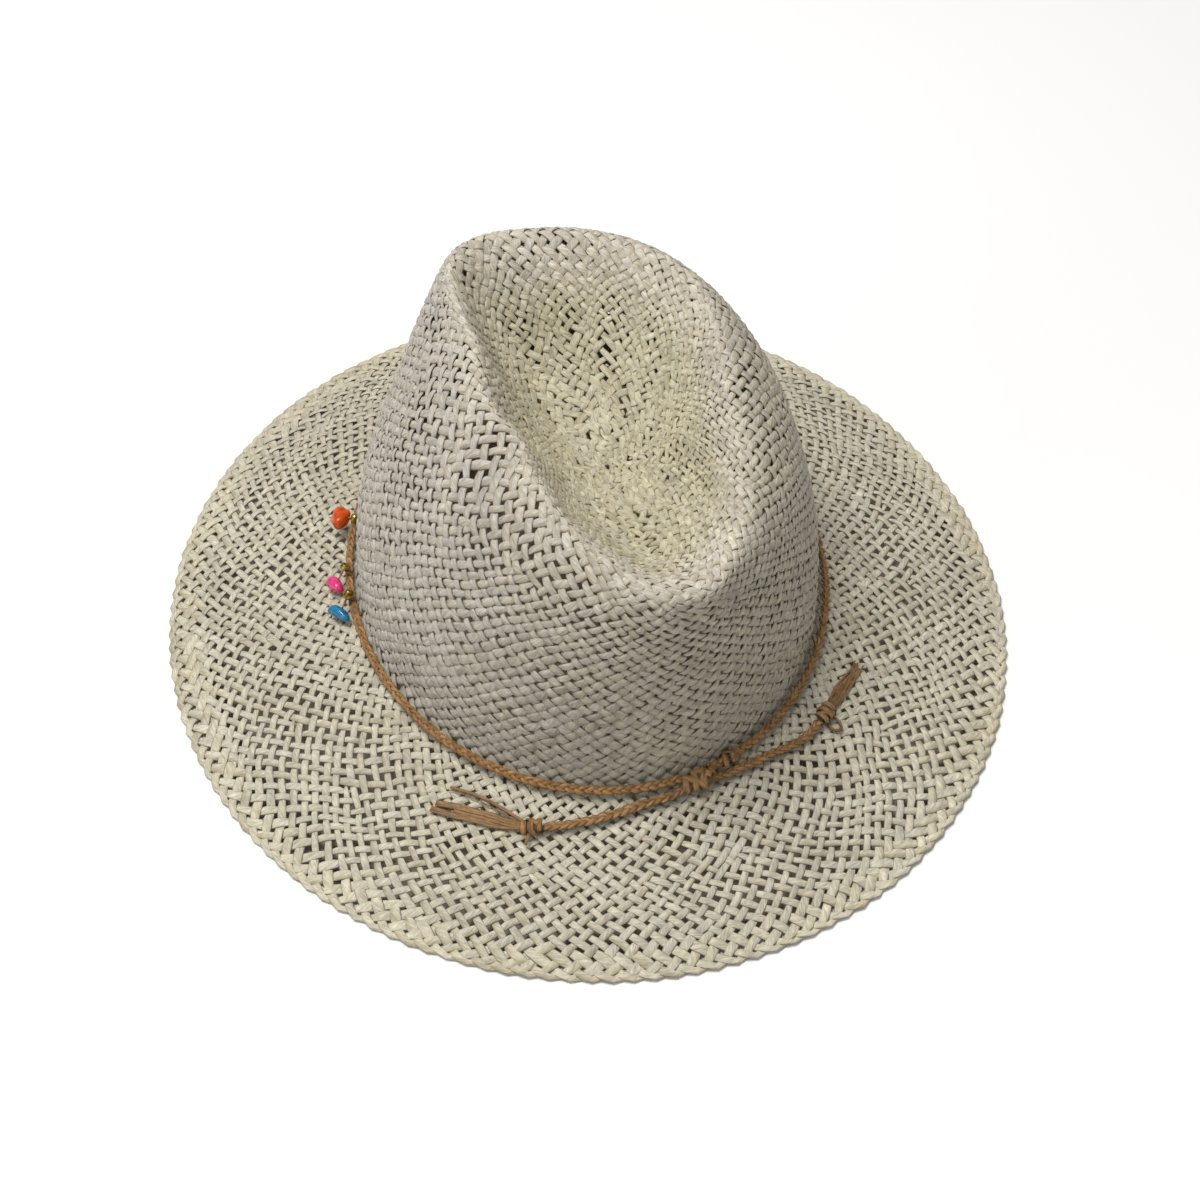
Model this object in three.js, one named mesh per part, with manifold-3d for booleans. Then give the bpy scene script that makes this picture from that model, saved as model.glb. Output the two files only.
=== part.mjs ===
import * as THREE from 'three';
import { mergeVertices } from 'three/addons/utils/BufferGeometryUtils.js';
import { NURBSCurve } from 'three/addons/curves/NURBSCurve.js';
import Module from 'manifold-3d';

// A woven straw fedora with a teardrop dent, a plaited raffia cord and three bead charms.
// Millimetres, +Z up. The brim's edge rests on Z = 0 and the origin is the middle of that plane.
// The front of the hat faces -Y and the wearer's left is +X.
// A turn is an angle in degrees from the front towards the wearer's left.

const wasm = await Module();
wasm.setup();

// Driving sizes of the straw
const HEAD_LENGTH = 207; // outside of the crown's foot, front to back
const HEAD_WIDTH = 170;
const HEAD_TURN = -6; // the crown sits a little turned on the brim
const BRIM_LENGTH = 336;
const BRIM_WIDTH = 317;
const CROWN_HEIGHT = 122; // from the table to the ridge round the dent
const BREAK_HEIGHT = 18; // from the table to where the crown meets the brim
const DENT_DEPTH = 40; // from the crown's height to the dent's floor
const DENT_BACK = 13; // the dent's middle lies behind the head's middle
const DENT_RIGHT = 4;
const STRAW = 2; // thickness of the weave
const BORDER = 4; // flat woven-back rim that rests on the table

// Driving sizes of the raffia cord
const CORD = 4;
const TAIL_CORD = 3.6;
const KNOT_LENGTH = 13;
const KNOT_HEIGHT = 6.4;
const KNOT_TURN = 184.5;
const END_KNOT_LENGTH = 8;
const END_KNOT_WIDTH = 6.4;
const END_KNOT_HEIGHT = 5.2;
const STRIP_WIDTH = 2.2;
const STRIP_THICKNESS = 0.9;

// Driving sizes of the charms
const THREAD = 0.8;
const THREAD_END = 1.2; // thread left past the last bead

// Clearances
const GAP = 0.3;

// Fineness of the facets
const AROUND = 64;
const SKIN_ROWS = 28;
const CORD_SIDES = 8;
const BAND_STEPS = 64;
const TAIL_STEPS = 14;
const KNOT_SIDES = 12;
const BEAD_SIDES = 12;
const BEAD_ROWS = 6;
const BEAD_FULLNESS = 1.08; // a bead is a little fuller than an oval
const CHARM_ROUNDS = 6; // steps that settle a coloured bead beside its brass bead

const DENT_FLOOR = CROWN_HEIGHT - DENT_DEPTH;

// The ridge round the dent.
// reach: from the dent's middle, as a share of half the head's width
// height: from the table, as a share of the crown's height
// shoulder: how far the shoulder stands out, as a share of the way from the ridge to the head's oval
// ease: how gently the dent's wall rises, from 0 where it is steep to 1 where it is a long slope
const RIDGE = [
  { turn: 0, reach: 0.92, height: 1.018, shoulder: 0.32, ease: 0.5 },
  { turn: 25, reach: 0.93, height: 1.035, shoulder: 0.29, ease: 0.2 },
  { turn: 50, reach: 0.59, height: 1.01, shoulder: 0.32, ease: 0 },
  { turn: 75, reach: 0.49, height: 0.965, shoulder: 0.37, ease: 0 },
  { turn: 105, reach: 0.41, height: 0.927, shoulder: 0.43, ease: 0 },
  { turn: 130, reach: 0.49, height: 0.904, shoulder: 0.48, ease: 0 },
  { turn: 155, reach: 0.71, height: 0.895, shoulder: 0.5, ease: 0.1 },
  { turn: 180, reach: 1, height: 0.878, shoulder: 0.51, ease: 0.3 },
  { turn: 205, reach: 0.76, height: 0.864, shoulder: 0.51, ease: 0.6 },
  { turn: 230, reach: 0.56, height: 0.896, shoulder: 0.52, ease: 0.9 },
  { turn: 255, reach: 0.47, height: 0.938, shoulder: 0.5, ease: 1 },
  { turn: 285, reach: 0.52, height: 0.97, shoulder: 0.49, ease: 0.7 },
  { turn: 310, reach: 0.66, height: 0.991, shoulder: 0.44, ease: 1.2 },
  { turn: 335, reach: 0.82, height: 1.003, shoulder: 0.38, ease: 0.8 },
];

// Sections inside the dent.
// out: share of the ridge's reach, lift: share of the way up from the dent's floor to the ridge
// more: what is added to the lift where the ridge table's ease is 1
const DENT_SECTIONS = [
  { out: 0, lift: 0, more: 0 },
  { out: 0.34, lift: 0.02, more: 0.06 },
  { out: 0.68, lift: 0.34, more: 0.24 },
  { out: 0.93, lift: 0.98, more: 0 },
];

// Sections of the crown's side.
// out: share of the way from the ridge, or from the shoulder, to the head's oval
// lift: share of the height between the break and the ridge
// shift: share of the dent's own shift that the section keeps
const SIDE_SECTIONS = [
  { from: 'ridge', out: 0.05, lift: 1.03, shift: 1 },
  { from: 'shoulder', out: 0, lift: 0.91, shift: 0.6 },
  { from: 'shoulder', out: 0.54, lift: 0.66, shift: 0.2 },
  { from: 'head', out: 0.98, lift: 0.34, shift: 0 },
  { from: 'head', out: 1, lift: 0.13, shift: 0 },
];

// Sections of the brim, up to its flat border.
// out: share of the way from the head's oval to the border, lift: share of the break's height
const BRIM_SECTIONS = [
  { out: 0.008, lift: 1.08 },
  { out: 0.1, lift: 0.94 },
  { out: 0.4, lift: 0.7 },
  { out: 0.75, lift: 0.4 },
  { out: 0.94, lift: 0.17 },
];

// The two free ends of the cord as they lie on the brim.
// turn: degrees, out: distance outside the head's oval in millimetres
const LEFT_TAIL = [
  { turn: 178.2, out: 7.6 },
  { turn: 176.2, out: 7.8 },
  { turn: 172.4, out: 9.0 },
  { turn: 168.6, out: 10.9 },
  { turn: 164.8, out: 13.0 },
  { turn: 161.0, out: 15.2 },
  { turn: 157.2, out: 17.2 },
];
const RIGHT_TAIL = [
  { turn: 191.0, out: 7.6 },
  { turn: 193.2, out: 8.0 },
  { turn: 197.2, out: 9.3 },
  { turn: 201.3, out: 11.2 },
  { turn: 205.2, out: 13.6 },
  { turn: 208.8, out: 15.0 },
  { turn: 211.9, out: 15.2 },
];

// Loose raffia ends of each tassel.
// aim: degrees away from the tail's own direction, length: millimetres, bow: sideways bow
const LEFT_STRIPS = [
  { aim: -19, length: 36, bow: 1.5, width: 1.3 },
  { aim: -25, length: 35, bow: -1, width: 1 },
  { aim: -22, length: 28, bow: 0.5, width: 0.6 },
  { aim: -35, length: 33, bow: -2, width: 0.45 },
  { aim: 66, length: 6, bow: 0, width: 0.5 },
];
const RIGHT_STRIPS = [
  { aim: 6, length: 28, bow: 1.5, width: 0.9 },
  { aim: 1, length: 24, bow: -1, width: 0.7 },
  { aim: 11, length: 19, bow: 1, width: 0.6 },
];

// Charms hung on the band.
// brass_lean, bead_lean: degrees above level, seen from the band's middle, at which a bead sits
// aside: how far back along the band the coloured bead hangs from its brass bead
// long, wide, high: the coloured bead along its thread, across it and upwards
// brass_long, brass_round: the brass bead along its thread and its diameter
const CHARMS = [
  {
    place: 'front', colour: 'orange', turn: 62.8, brass_lean: 100, bead_lean: 30, aside: 0,
    long: 6.6, wide: 10, high: 6, brass_long: 2.4, brass_round: 3.4,
  },
  {
    place: 'middle', colour: 'pink', turn: 79.2, brass_lean: 75, bead_lean: -18, aside: 3,
    long: 4.8, wide: 9, high: 4.6, brass_long: 2.6, brass_round: 4,
  },
  {
    place: 'rear', colour: 'blue', turn: 88, brass_lean: 75, bead_lean: -18, aside: 3.2,
    long: 4.2, wide: 9.6, high: 4.2, brass_long: 3.8, brass_round: 4,
  },
];

const COLOURS = {
  straw: 0xe2dcca,
  raffia: 0xb48a54,
  orange: 0xd8500e,
  pink: 0xdb4f8c,
  blue: 0x1b87ae,
  brass: 0x8a7434,
  thread: 0xc9a873,
};

const radians = THREE.MathUtils.degToRad;

// A flat unit vector that points outwards at a turn.
function outwards(turn) {
  return new THREE.Vector3(Math.sin(radians(turn)), -Math.cos(radians(turn)), 0);
}

function turnOf(point) {
  return THREE.MathUtils.radToDeg(Math.atan2(point.x, -point.y));
}

// Radius of an oval, given its full length and width, at a turn.
function oval(length, width, turn) {
  const along = width * Math.cos(radians(turn));
  const across = length * Math.sin(radians(turn));
  return (length * width) / 2 / Math.hypot(along, across);
}

function headRadius(turn) {
  return oval(HEAD_LENGTH, HEAD_WIDTH, turn - HEAD_TURN);
}

// How far a point lies outside the head's oval, seen from above.
function beyondHead(point) {
  return Math.hypot(point.x, point.y) - headRadius(turnOf(point));
}

function rimRadius(turn) {
  return oval(BRIM_LENGTH, BRIM_WIDTH, turn);
}

// A smooth closed curve through one column of the ridge table.
function ridge(column, turn) {
  const wrapped = THREE.MathUtils.euclideanModulo(turn, 360);
  const count = RIDGE.length;
  const row = (index) => {
    const lap = Math.floor(index / count);
    const entry = RIDGE[index - lap * count];
    return { turn: entry.turn + 360 * lap, value: entry[column] };
  };
  let first = 0;
  while (first + 1 < count && RIDGE[first + 1].turn <= wrapped) {
    first += 1;
  }
  const [before, start, end, after] = [first - 1, first, first + 1, first + 2].map(row);
  const span = end.turn - start.turn;
  const slopeIn = ((end.value - before.value) / (end.turn - before.turn)) * span;
  const slopeOut = ((after.value - start.value) / (after.turn - start.turn)) * span;
  const t = (wrapped - start.turn) / span;
  return start.value * (2 * t ** 3 - 3 * t ** 2 + 1) + slopeIn * (t ** 3 - 2 * t ** 2 + t)
    + end.value * (3 * t ** 2 - 2 * t ** 3) + slopeOut * (t ** 3 - t ** 2);
}

// The straw's upper face along one turn, from the dent's middle to the flat border.
function sectionCurve(turn) {
  const reach = (ridge('reach', turn) * HEAD_WIDTH) / 2;
  const height = ridge('height', turn) * CROWN_HEIGHT;
  const shoulder = ridge('shoulder', turn);
  const ease = ridge('ease', turn);
  const head = headRadius(turn);
  const border = rimRadius(turn) - BORDER;
  const points = [];
  const add = (radius, z, shift) => {
    const point = outwards(turn).multiplyScalar(radius);
    point.x -= DENT_RIGHT * shift;
    point.y += DENT_BACK * shift;
    points.push(new THREE.Vector4(point.x, point.y, z, 1));
  };
  for (const { out, lift, more } of DENT_SECTIONS) {
    add(out * reach, DENT_FLOOR + (lift + more * ease) * (height - DENT_FLOOR), 1);
  }
  for (const { from, out, lift, shift } of SIDE_SECTIONS) {
    let radius = reach + out * (head - reach);
    if (from === 'ridge') {
      radius = reach * (1 + out);
    }
    if (from === 'shoulder') {
      radius = reach + (shoulder + (1 - shoulder) * out) * (head - reach);
    }
    add(radius, BREAK_HEIGHT + lift * (height - BREAK_HEIGHT), shift);
  }
  for (const { out, lift } of BRIM_SECTIONS) {
    add(head + out * (border - head), lift * BREAK_HEIGHT, 0);
  }
  add(border, STRAW, 0);
  const degree = 3;
  const spans = points.length - degree;
  const knots = Array(degree).fill(0);
  for (let k = 0; k <= spans; k += 1) {
    knots.push(k / spans);
  }
  knots.push(...Array(degree).fill(1));
  return new NURBSCurve(degree, knots, points);
}

// One row of the upper face for each t, with the direction that the straw's thickness goes.
function skinGrid() {
  const step = 360 / AROUND;
  const nudge = 0.5;
  const grid = [];
  for (let j = 0; j < AROUND; j += 1) {
    const curve = sectionCurve(j * step);
    const left = sectionCurve(j * step + nudge);
    const right = sectionCurve(j * step - nudge);
    const column = [];
    for (let i = 0; i < SKIN_ROWS; i += 1) {
      const t = i / (SKIN_ROWS - 1);
      const along = curve.getTangent(t);
      const across = left.getPoint(t).sub(right.getPoint(t));
      const normal = i === 0 ? new THREE.Vector3(0, 0, 1) : along.cross(across).normalize();
      column.push({ point: curve.getPoint(t), normal });
    }
    grid.push(column);
  }
  return grid;
}

// A closed body from rings of points. Each ring has as many points, and the first and the
// last ring shrink to a point, are covered by a fan, or meet each other in a loop.
function ringBody(rings, { loop = false } = {}) {
  const sides = rings[0].length;
  const positions = [];
  const triangle = (a, b, c) => positions.push(...a.toArray(), ...b.toArray(), ...c.toArray());
  const last = loop ? rings.length : rings.length - 1;
  for (let i = 0; i < last; i += 1) {
    const near = rings[i];
    const far = rings[(i + 1) % rings.length];
    for (let j = 0; j < sides; j += 1) {
      const next = (j + 1) % sides;
      triangle(near[j], near[next], far[j]);
      triangle(near[next], far[next], far[j]);
    }
  }
  if (!loop) {
    const middle = (ring) => ring.reduce((sum, point) => sum.add(point), new THREE.Vector3())
      .divideScalar(sides);
    const [start, end] = [rings[0], rings[rings.length - 1]];
    const [startMiddle, endMiddle] = [middle(start), middle(end)];
    for (let j = 0; j < sides; j += 1) {
      const next = (j + 1) % sides;
      triangle(startMiddle, start[next], start[j]);
      triangle(endMiddle, end[j], end[next]);
    }
  }
  return cleaned(positions);
}

// Merges shared corners and drops triangles that have shrunk to a line.
function cleaned(positions) {
  const soup = new THREE.BufferGeometry();
  soup.setAttribute('position', new THREE.Float32BufferAttribute(positions, 3));
  const merged = mergeVertices(soup, 1e-4);
  const index = merged.getIndex().array;
  const kept = [];
  for (let k = 0; k < index.length; k += 3) {
    const [a, b, c] = [index[k], index[k + 1], index[k + 2]];
    if (a !== b && b !== c && c !== a) {
      kept.push(a, b, c);
    }
  }
  merged.setIndex(kept);
  return merged;
}

// Joins closed geometries that overlap into one closed geometry.
function fused(geometries) {
  let body = null;
  for (const geometry of geometries) {
    const bare = geometry.clone();
    bare.deleteAttribute('normal');
    bare.deleteAttribute('uv');
    const merged = mergeVertices(bare, 1e-4);
    const solid = new wasm.Manifold(new wasm.Mesh({
      numProp: 3,
      vertProperties: new Float32Array(merged.attributes.position.array),
      triVerts: new Uint32Array(merged.getIndex().array),
    }));
    body = body ? body.add(solid) : solid;
  }
  const mesh = body.getMesh();
  const result = new THREE.BufferGeometry();
  result.setAttribute('position', new THREE.BufferAttribute(mesh.vertProperties, 3));
  result.setIndex(new THREE.BufferAttribute(mesh.triVerts, 1));
  return result;
}

// Crown and brim: the upper face, the flat border, and the lower face a straw's thickness below.
function strawBody(grid) {
  const rings = [];
  for (let i = 0; i < SKIN_ROWS; i += 1) {
    rings.push(grid.map((column) => column[i].point));
  }
  const rim = (z) => grid.map((column, j) => {
    const turn = (j * 360) / AROUND;
    return outwards(turn).multiplyScalar(rimRadius(turn)).setZ(z);
  });
  rings.push(rim(STRAW), rim(0));
  for (let i = SKIN_ROWS - 1; i >= 0; i -= 1) {
    rings.push(grid.map((column) => {
      const { point, normal } = column[i];
      const inner = point.clone().addScaledVector(normal, -STRAW);
      return i === SKIN_ROWS - 1 ? point.clone().setZ(0) : inner;
    }));
  }
  return ringBody(rings.reverse());
}

// The faceted upper face along one turn, as heights and distances from the origin.
function skinProfile(turn) {
  const curve = sectionCurve(turn);
  const profile = [];
  for (let i = Math.floor(SKIN_ROWS * 0.6); i < SKIN_ROWS; i += 1) {
    const point = curve.getPoint(i / (SKIN_ROWS - 1));
    profile.push(new THREE.Vector2(Math.hypot(point.x, point.y), point.z));
  }
  return profile;
}

function distanceTo(profile, radius, z) {
  let nearest = Infinity;
  const here = new THREE.Vector3(radius, 0, z);
  for (let k = 0; k + 1 < profile.length; k += 1) {
    const line = new THREE.Line3(
      new THREE.Vector3(profile[k].x, 0, profile[k].y),
      new THREE.Vector3(profile[k + 1].x, 0, profile[k + 1].y),
    );
    const foot = line.closestPointToPoint(here, true, new THREE.Vector3());
    nearest = Math.min(nearest, foot.distanceTo(here));
  }
  return nearest;
}

// Where a cord's middle rests in the corner between crown and brim, clear of both.
function cornerSeat(turn, clear) {
  const profile = skinProfile(turn);
  const step = 0.02;
  let away = 2 * clear + GAP;
  const at = () => [headRadius(turn) + away, BREAK_HEIGHT + away];
  while (away > 0 && distanceTo(profile, ...at()) > clear) {
    away -= step;
  }
  away += step;
  const [radius, z] = at();
  return outwards(turn).multiplyScalar(radius).setZ(z);
}

// Where the middle of something round lies on the brim, at a distance outside the head's oval.
function brimSeat(turn, out, clear) {
  const profile = skinProfile(turn);
  const radius = headRadius(turn) + out;
  const step = 0.02;
  let z = 0;
  while (distanceTo(profile, radius, z) < clear || z < heightOn(profile, radius)) {
    z += step;
  }
  return outwards(turn).multiplyScalar(radius).setZ(z);
}

function heightOn(profile, radius) {
  for (let k = profile.length - 1; k > 0; k -= 1) {
    const [inner, outer] = [profile[k - 1], profile[k]];
    if (radius >= inner.x) {
      const share = Math.min(1, (radius - inner.x) / (outer.x - inner.x));
      return inner.y + share * (outer.y - inner.y);
    }
  }
  return profile[0].y;
}

// A round cord along a curve through the given points.
function cordAlong(points, diameter, steps) {
  const section = new THREE.Shape();
  for (let k = 0; k < CORD_SIDES; k += 1) {
    const angle = ((k + 0.5) * 2 * Math.PI) / CORD_SIDES;
    const corner = [(diameter / 2) * Math.cos(angle), (diameter / 2) * Math.sin(angle)];
    if (k === 0) {
      section.moveTo(...corner);
    } else {
      section.lineTo(...corner);
    }
  }
  section.closePath();
  const path = new THREE.CatmullRomCurve3(points, false, 'catmullrom', 0.5);
  return new THREE.ExtrudeGeometry(section, { steps, extrudePath: path, curveSegments: 1 });
}

// Rings of an oval body that runs along a direction.
// bulge: { at: share of the length from the middle, size: share of the full width and height }
function ovalBody(centre, forward, size, bulges, sides, upward = new THREE.Vector3(0, 0, 1)) {
  const side = new THREE.Vector3().crossVectors(upward, forward).normalize();
  const up = new THREE.Vector3().crossVectors(forward, side).normalize();
  const rings = bulges.map(({ at, size: share }) => {
    const middle = centre.clone().addScaledVector(forward, at * size.length);
    const ring = [];
    for (let k = 0; k < sides; k += 1) {
      const angle = (k * 2 * Math.PI) / sides;
      ring.push(middle.clone()
        .addScaledVector(side, (Math.cos(angle) * share * size.width) / 2)
        .addScaledVector(up, (Math.sin(angle) * share * size.height) / 2));
    }
    return ring;
  });
  return ringBody(rings);
}

const BAND_KNOT_BULGES = [
  { at: -0.5, size: 0.62 },
  { at: -0.38, size: 0.9 },
  { at: -0.16, size: 1 },
  { at: 0, size: 0.9 },
  { at: 0.16, size: 1 },
  { at: 0.38, size: 0.9 },
  { at: 0.5, size: 0.62 },
];
const END_KNOT_BULGES = [
  { at: -0.5, size: 0.6 },
  { at: -0.3, size: 0.92 },
  { at: 0, size: 1 },
  { at: 0.3, size: 0.92 },
  { at: 0.5, size: 0.5 },
];

// The knot behind the crown. The band's two ends enter it on the inside, the tails outside.
function bandKnot() {
  const width = CORD + TAIL_CORD + 2 * GAP;
  const clear = KNOT_HEIGHT / 2 + GAP;
  const seat = cornerSeat(KNOT_TURN, clear);
  const aside = (width - KNOT_HEIGHT) / 2 + 2 * GAP;
  const centre = brimSeat(KNOT_TURN, beyondHead(seat) + aside, clear);
  const forward = outwards(KNOT_TURN + 90);
  const size = { length: KNOT_LENGTH, width, height: KNOT_HEIGHT };
  return { centre, geometry: ovalBody(centre, forward, size, BAND_KNOT_BULGES, KNOT_SIDES) };
}

// The band goes once round the crown's foot, from one end of the knot to the other.
function bandPoints(knot) {
  const knotRadius = Math.hypot(knot.centre.x, knot.centre.y);
  const half = THREE.MathUtils.radToDeg((KNOT_LENGTH / 2 + GAP) / knotRadius);
  const points = [];
  for (let k = 0; k <= BAND_STEPS; k += 1) {
    const turn = KNOT_TURN + half + ((360 - 2 * half) * k) / BAND_STEPS;
    points.push(cornerSeat(turn, CORD / 2 + GAP));
  }
  return points;
}

// A tail's route, lying on the brim.
function tailPoints(route) {
  return route.map(({ turn, out }) => brimSeat(turn, out, TAIL_CORD / 2 + GAP));
}

// A flat strip of raffia from a point, lying on the brim.
function strip(start, heading, { length, bow, width }) {
  const direction = new THREE.Vector3(Math.cos(heading), Math.sin(heading), 0);
  const side = new THREE.Vector3(-direction.y, direction.x, 0);
  const halfWidth = (width * STRIP_WIDTH) / 2;
  const halfThick = STRIP_THICKNESS / 2;
  const pieces = 6;
  const rings = [];
  for (let k = 0; k <= pieces; k += 1) {
    const share = k / pieces;
    const middle = start.clone().addScaledVector(direction, share * length)
      .addScaledVector(side, bow * Math.sin(Math.PI * share));
    const bed = brimSeat(turnOf(middle), beyondHead(middle), halfThick + GAP);
    const settle = Math.min(1, (share * length) / END_KNOT_LENGTH);
    middle.z = THREE.MathUtils.lerp(start.z, bed.z, settle);
    const taper = 1 - 0.45 * share;
    const corners = [[-1, -1], [1, -1], [1, 1], [-1, 1]];
    rings.push(corners.map(([a, b]) => middle.clone()
      .addScaledVector(side, a * halfWidth * taper)
      .setZ(middle.z + b * halfThick)));
  }
  return ringBody(rings);
}

// The end knot of a tail with its loose strips.
function tassel(tail, strips) {
  const end = tail[tail.length - 1];
  const before = tail[tail.length - 2];
  const forward = end.clone().sub(before).setZ(0).normalize();
  const plan = end.clone().addScaledVector(forward, END_KNOT_LENGTH / 2 + GAP);
  const centre = brimSeat(turnOf(plan), beyondHead(plan), END_KNOT_HEIGHT / 2 + GAP);
  const size = { length: END_KNOT_LENGTH, width: END_KNOT_WIDTH, height: END_KNOT_HEIGHT };
  const knot = ovalBody(centre, forward, size, END_KNOT_BULGES, KNOT_SIDES);
  const heading = Math.atan2(forward.y, forward.x);
  const ends = strips.map((row) => strip(centre, heading + radians(row.aim), row));
  return fused([knot, ...ends]);
}

// A bead with a hole for its thread. Its rows run down the outside, and the hole closes them.
function bead(centre, forward, { long, wide, high }) {
  const side = new THREE.Vector3(-forward.y, forward.x, 0).normalize();
  const up = new THREE.Vector3().crossVectors(forward, side).normalize();
  const hole = THREAD / 2 + GAP;
  const rings = [];
  for (let i = 0; i <= BEAD_ROWS; i += 1) {
    const lean = Math.PI * (i / BEAD_ROWS - 0.5);
    const middle = centre.clone().addScaledVector(forward, (Math.sin(lean) * long) / 2);
    const swell = Math.cos(lean) ** 0.8;
    rings.push(Array.from({ length: BEAD_SIDES }, (_, k) => {
      const angle = (k * 2 * Math.PI) / BEAD_SIDES;
      const across = hole + (wide / 2 - hole) * swell;
      const above = hole + (high / 2 - hole) * swell;
      return middle.clone().addScaledVector(side, Math.cos(angle) * across)
        .addScaledVector(up, Math.sin(angle) * above);
    }));
  }
  return ringBody(rings, { loop: true });
}

// Half of a bead's thickness in one direction, when its thread runs forward.
function beadReach(size, forward, towards) {
  const side = new THREE.Vector3(-forward.y, forward.x, 0).normalize();
  const up = new THREE.Vector3().crossVectors(forward, side);
  const along = (size.long * forward.dot(towards)) / 2;
  const across = (size.wide * side.dot(towards)) / 2;
  const above = (size.high * up.dot(towards)) / 2;
  return BEAD_FULLNESS * Math.hypot(along, across, above);
}

// One charm: a thread over the band. A brass bead lies on the band, a coloured bead beside it.
function charm(row) {
  const band = cornerSeat(row.turn, CORD / 2 + GAP);
  const out = outwards(row.turn);
  const lean = (angle) => out.clone().multiplyScalar(Math.cos(radians(angle)))
    .setZ(Math.sin(radians(angle)));
  const brassHalf = Math.max(row.brass_long, row.brass_round) / 2;
  const brassAt = band.clone()
    .addScaledVector(lean(row.brass_lean), CORD / 2 + GAP + brassHalf);
  const beadAt = band.clone().addScaledVector(lean(row.bead_lean), CORD + row.wide / 2);
  const forward = new THREE.Vector3();
  const upwards = new THREE.Vector3(0, 0, 1);
  for (let round = 0; round < CHARM_ROUNDS; round += 1) {
    forward.copy(beadAt).sub(brassAt).normalize();
    const away = CORD / 2 + GAP + beadReach(row, forward, lean(row.bead_lean));
    beadAt.copy(band).addScaledVector(lean(row.bead_lean), away)
      .addScaledVector(outwards(row.turn + 90), row.aside);
    const clear = GAP + beadReach(row, forward, upwards);
    const bed = brimSeat(turnOf(beadAt), beyondHead(beadAt), clear);
    beadAt.z = Math.max(beadAt.z, bed.z);
  }
  const start = brassAt.clone()
    .addScaledVector(forward, -row.brass_long / 2 - THREAD_END / 2);
  const finish = beadAt.clone().addScaledVector(forward, row.long / 2 + THREAD_END);
  const middle = brassAt.clone().lerp(beadAt, 0.5);
  const brass = { long: row.brass_long, wide: row.brass_round, high: row.brass_round };
  return {
    thread: cordAlong([start, middle, finish], THREAD, 4),
    brass: bead(brassAt, forward, brass),
    bead: bead(beadAt, forward, row),
  };
}

const hat = new THREE.Group();

function add(name, geometry, colour, roughness, metalness = 0) {
  const material = new THREE.MeshStandardMaterial({ color: colour, roughness, metalness });
  const mesh = new THREE.Mesh(geometry, material);
  mesh.name = name;
  hat.add(mesh);
}

function addStraw() {
  add('straw_body', strawBody(skinGrid()), COLOURS.straw, 0.85);
}

function addCord() {
  const knot = bandKnot();
  add('band_knot', knot.geometry, COLOURS.raffia, 0.7);
  add('cord_band', cordAlong(bandPoints(knot), CORD, BAND_STEPS), COLOURS.raffia, 0.7);
  const sides = [
    { name: 'left', route: LEFT_TAIL, strips: LEFT_STRIPS },
    { name: 'right', route: RIGHT_TAIL, strips: RIGHT_STRIPS },
  ];
  for (const { name, route, strips } of sides) {
    const points = tailPoints(route);
    add(`tail_${name}`, cordAlong(points, TAIL_CORD, TAIL_STEPS), COLOURS.raffia, 0.7);
    add(`tassel_${name}`, tassel(points, strips), COLOURS.raffia, 0.7);
  }
}

function addCharms() {
  for (const row of CHARMS) {
    const { thread, brass, bead: coloured } = charm(row);
    add(`charm_thread_${row.place}`, thread, COLOURS.thread, 0.8);
    add(`bead_brass_${row.place}`, brass, COLOURS.brass, 0.35, 0.9);
    add(`bead_${row.colour}`, coloured, COLOURS[row.colour], 0.25);
  }
}

addStraw();
addCord();
addCharms();

export default hat;
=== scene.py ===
"""Straw fedora woven from paper straw, with a raffia cord and small stone charms."""

import bmesh
import bpy
import math
import numpy as np
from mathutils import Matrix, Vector


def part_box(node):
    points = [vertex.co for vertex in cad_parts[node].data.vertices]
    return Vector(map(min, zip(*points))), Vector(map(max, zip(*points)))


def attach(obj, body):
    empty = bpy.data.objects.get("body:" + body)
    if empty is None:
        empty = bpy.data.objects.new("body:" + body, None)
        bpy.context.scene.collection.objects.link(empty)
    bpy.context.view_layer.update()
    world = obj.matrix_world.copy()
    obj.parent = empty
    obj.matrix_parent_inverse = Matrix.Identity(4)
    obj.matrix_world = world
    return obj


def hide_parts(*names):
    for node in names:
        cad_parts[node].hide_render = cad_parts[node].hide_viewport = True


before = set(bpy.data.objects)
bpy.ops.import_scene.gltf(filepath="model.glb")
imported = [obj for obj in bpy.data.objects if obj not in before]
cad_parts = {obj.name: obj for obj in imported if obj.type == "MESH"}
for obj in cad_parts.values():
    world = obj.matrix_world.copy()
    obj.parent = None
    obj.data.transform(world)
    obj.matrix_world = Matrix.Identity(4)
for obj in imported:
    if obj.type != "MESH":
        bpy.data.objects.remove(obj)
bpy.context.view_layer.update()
MM = 0.001
TAU = 2 * math.pi
UP = np.array([0, 0, 1.0])


def add_object(name, data):
    made = bpy.data.objects.new(name, data)
    bpy.context.collection.objects.link(made)
    return made


# Camera: angles in degrees, distance in metres, focal length and shifts in pixels of the frame

AZIMUTH, ELEVATION, DISTANCE = 164, 48.5, 0.7
FRAME_WIDTH, FOCAL_LENGTH, SHIFT = 1200, 1812, (14, -3)
SENSOR = 36


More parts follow.
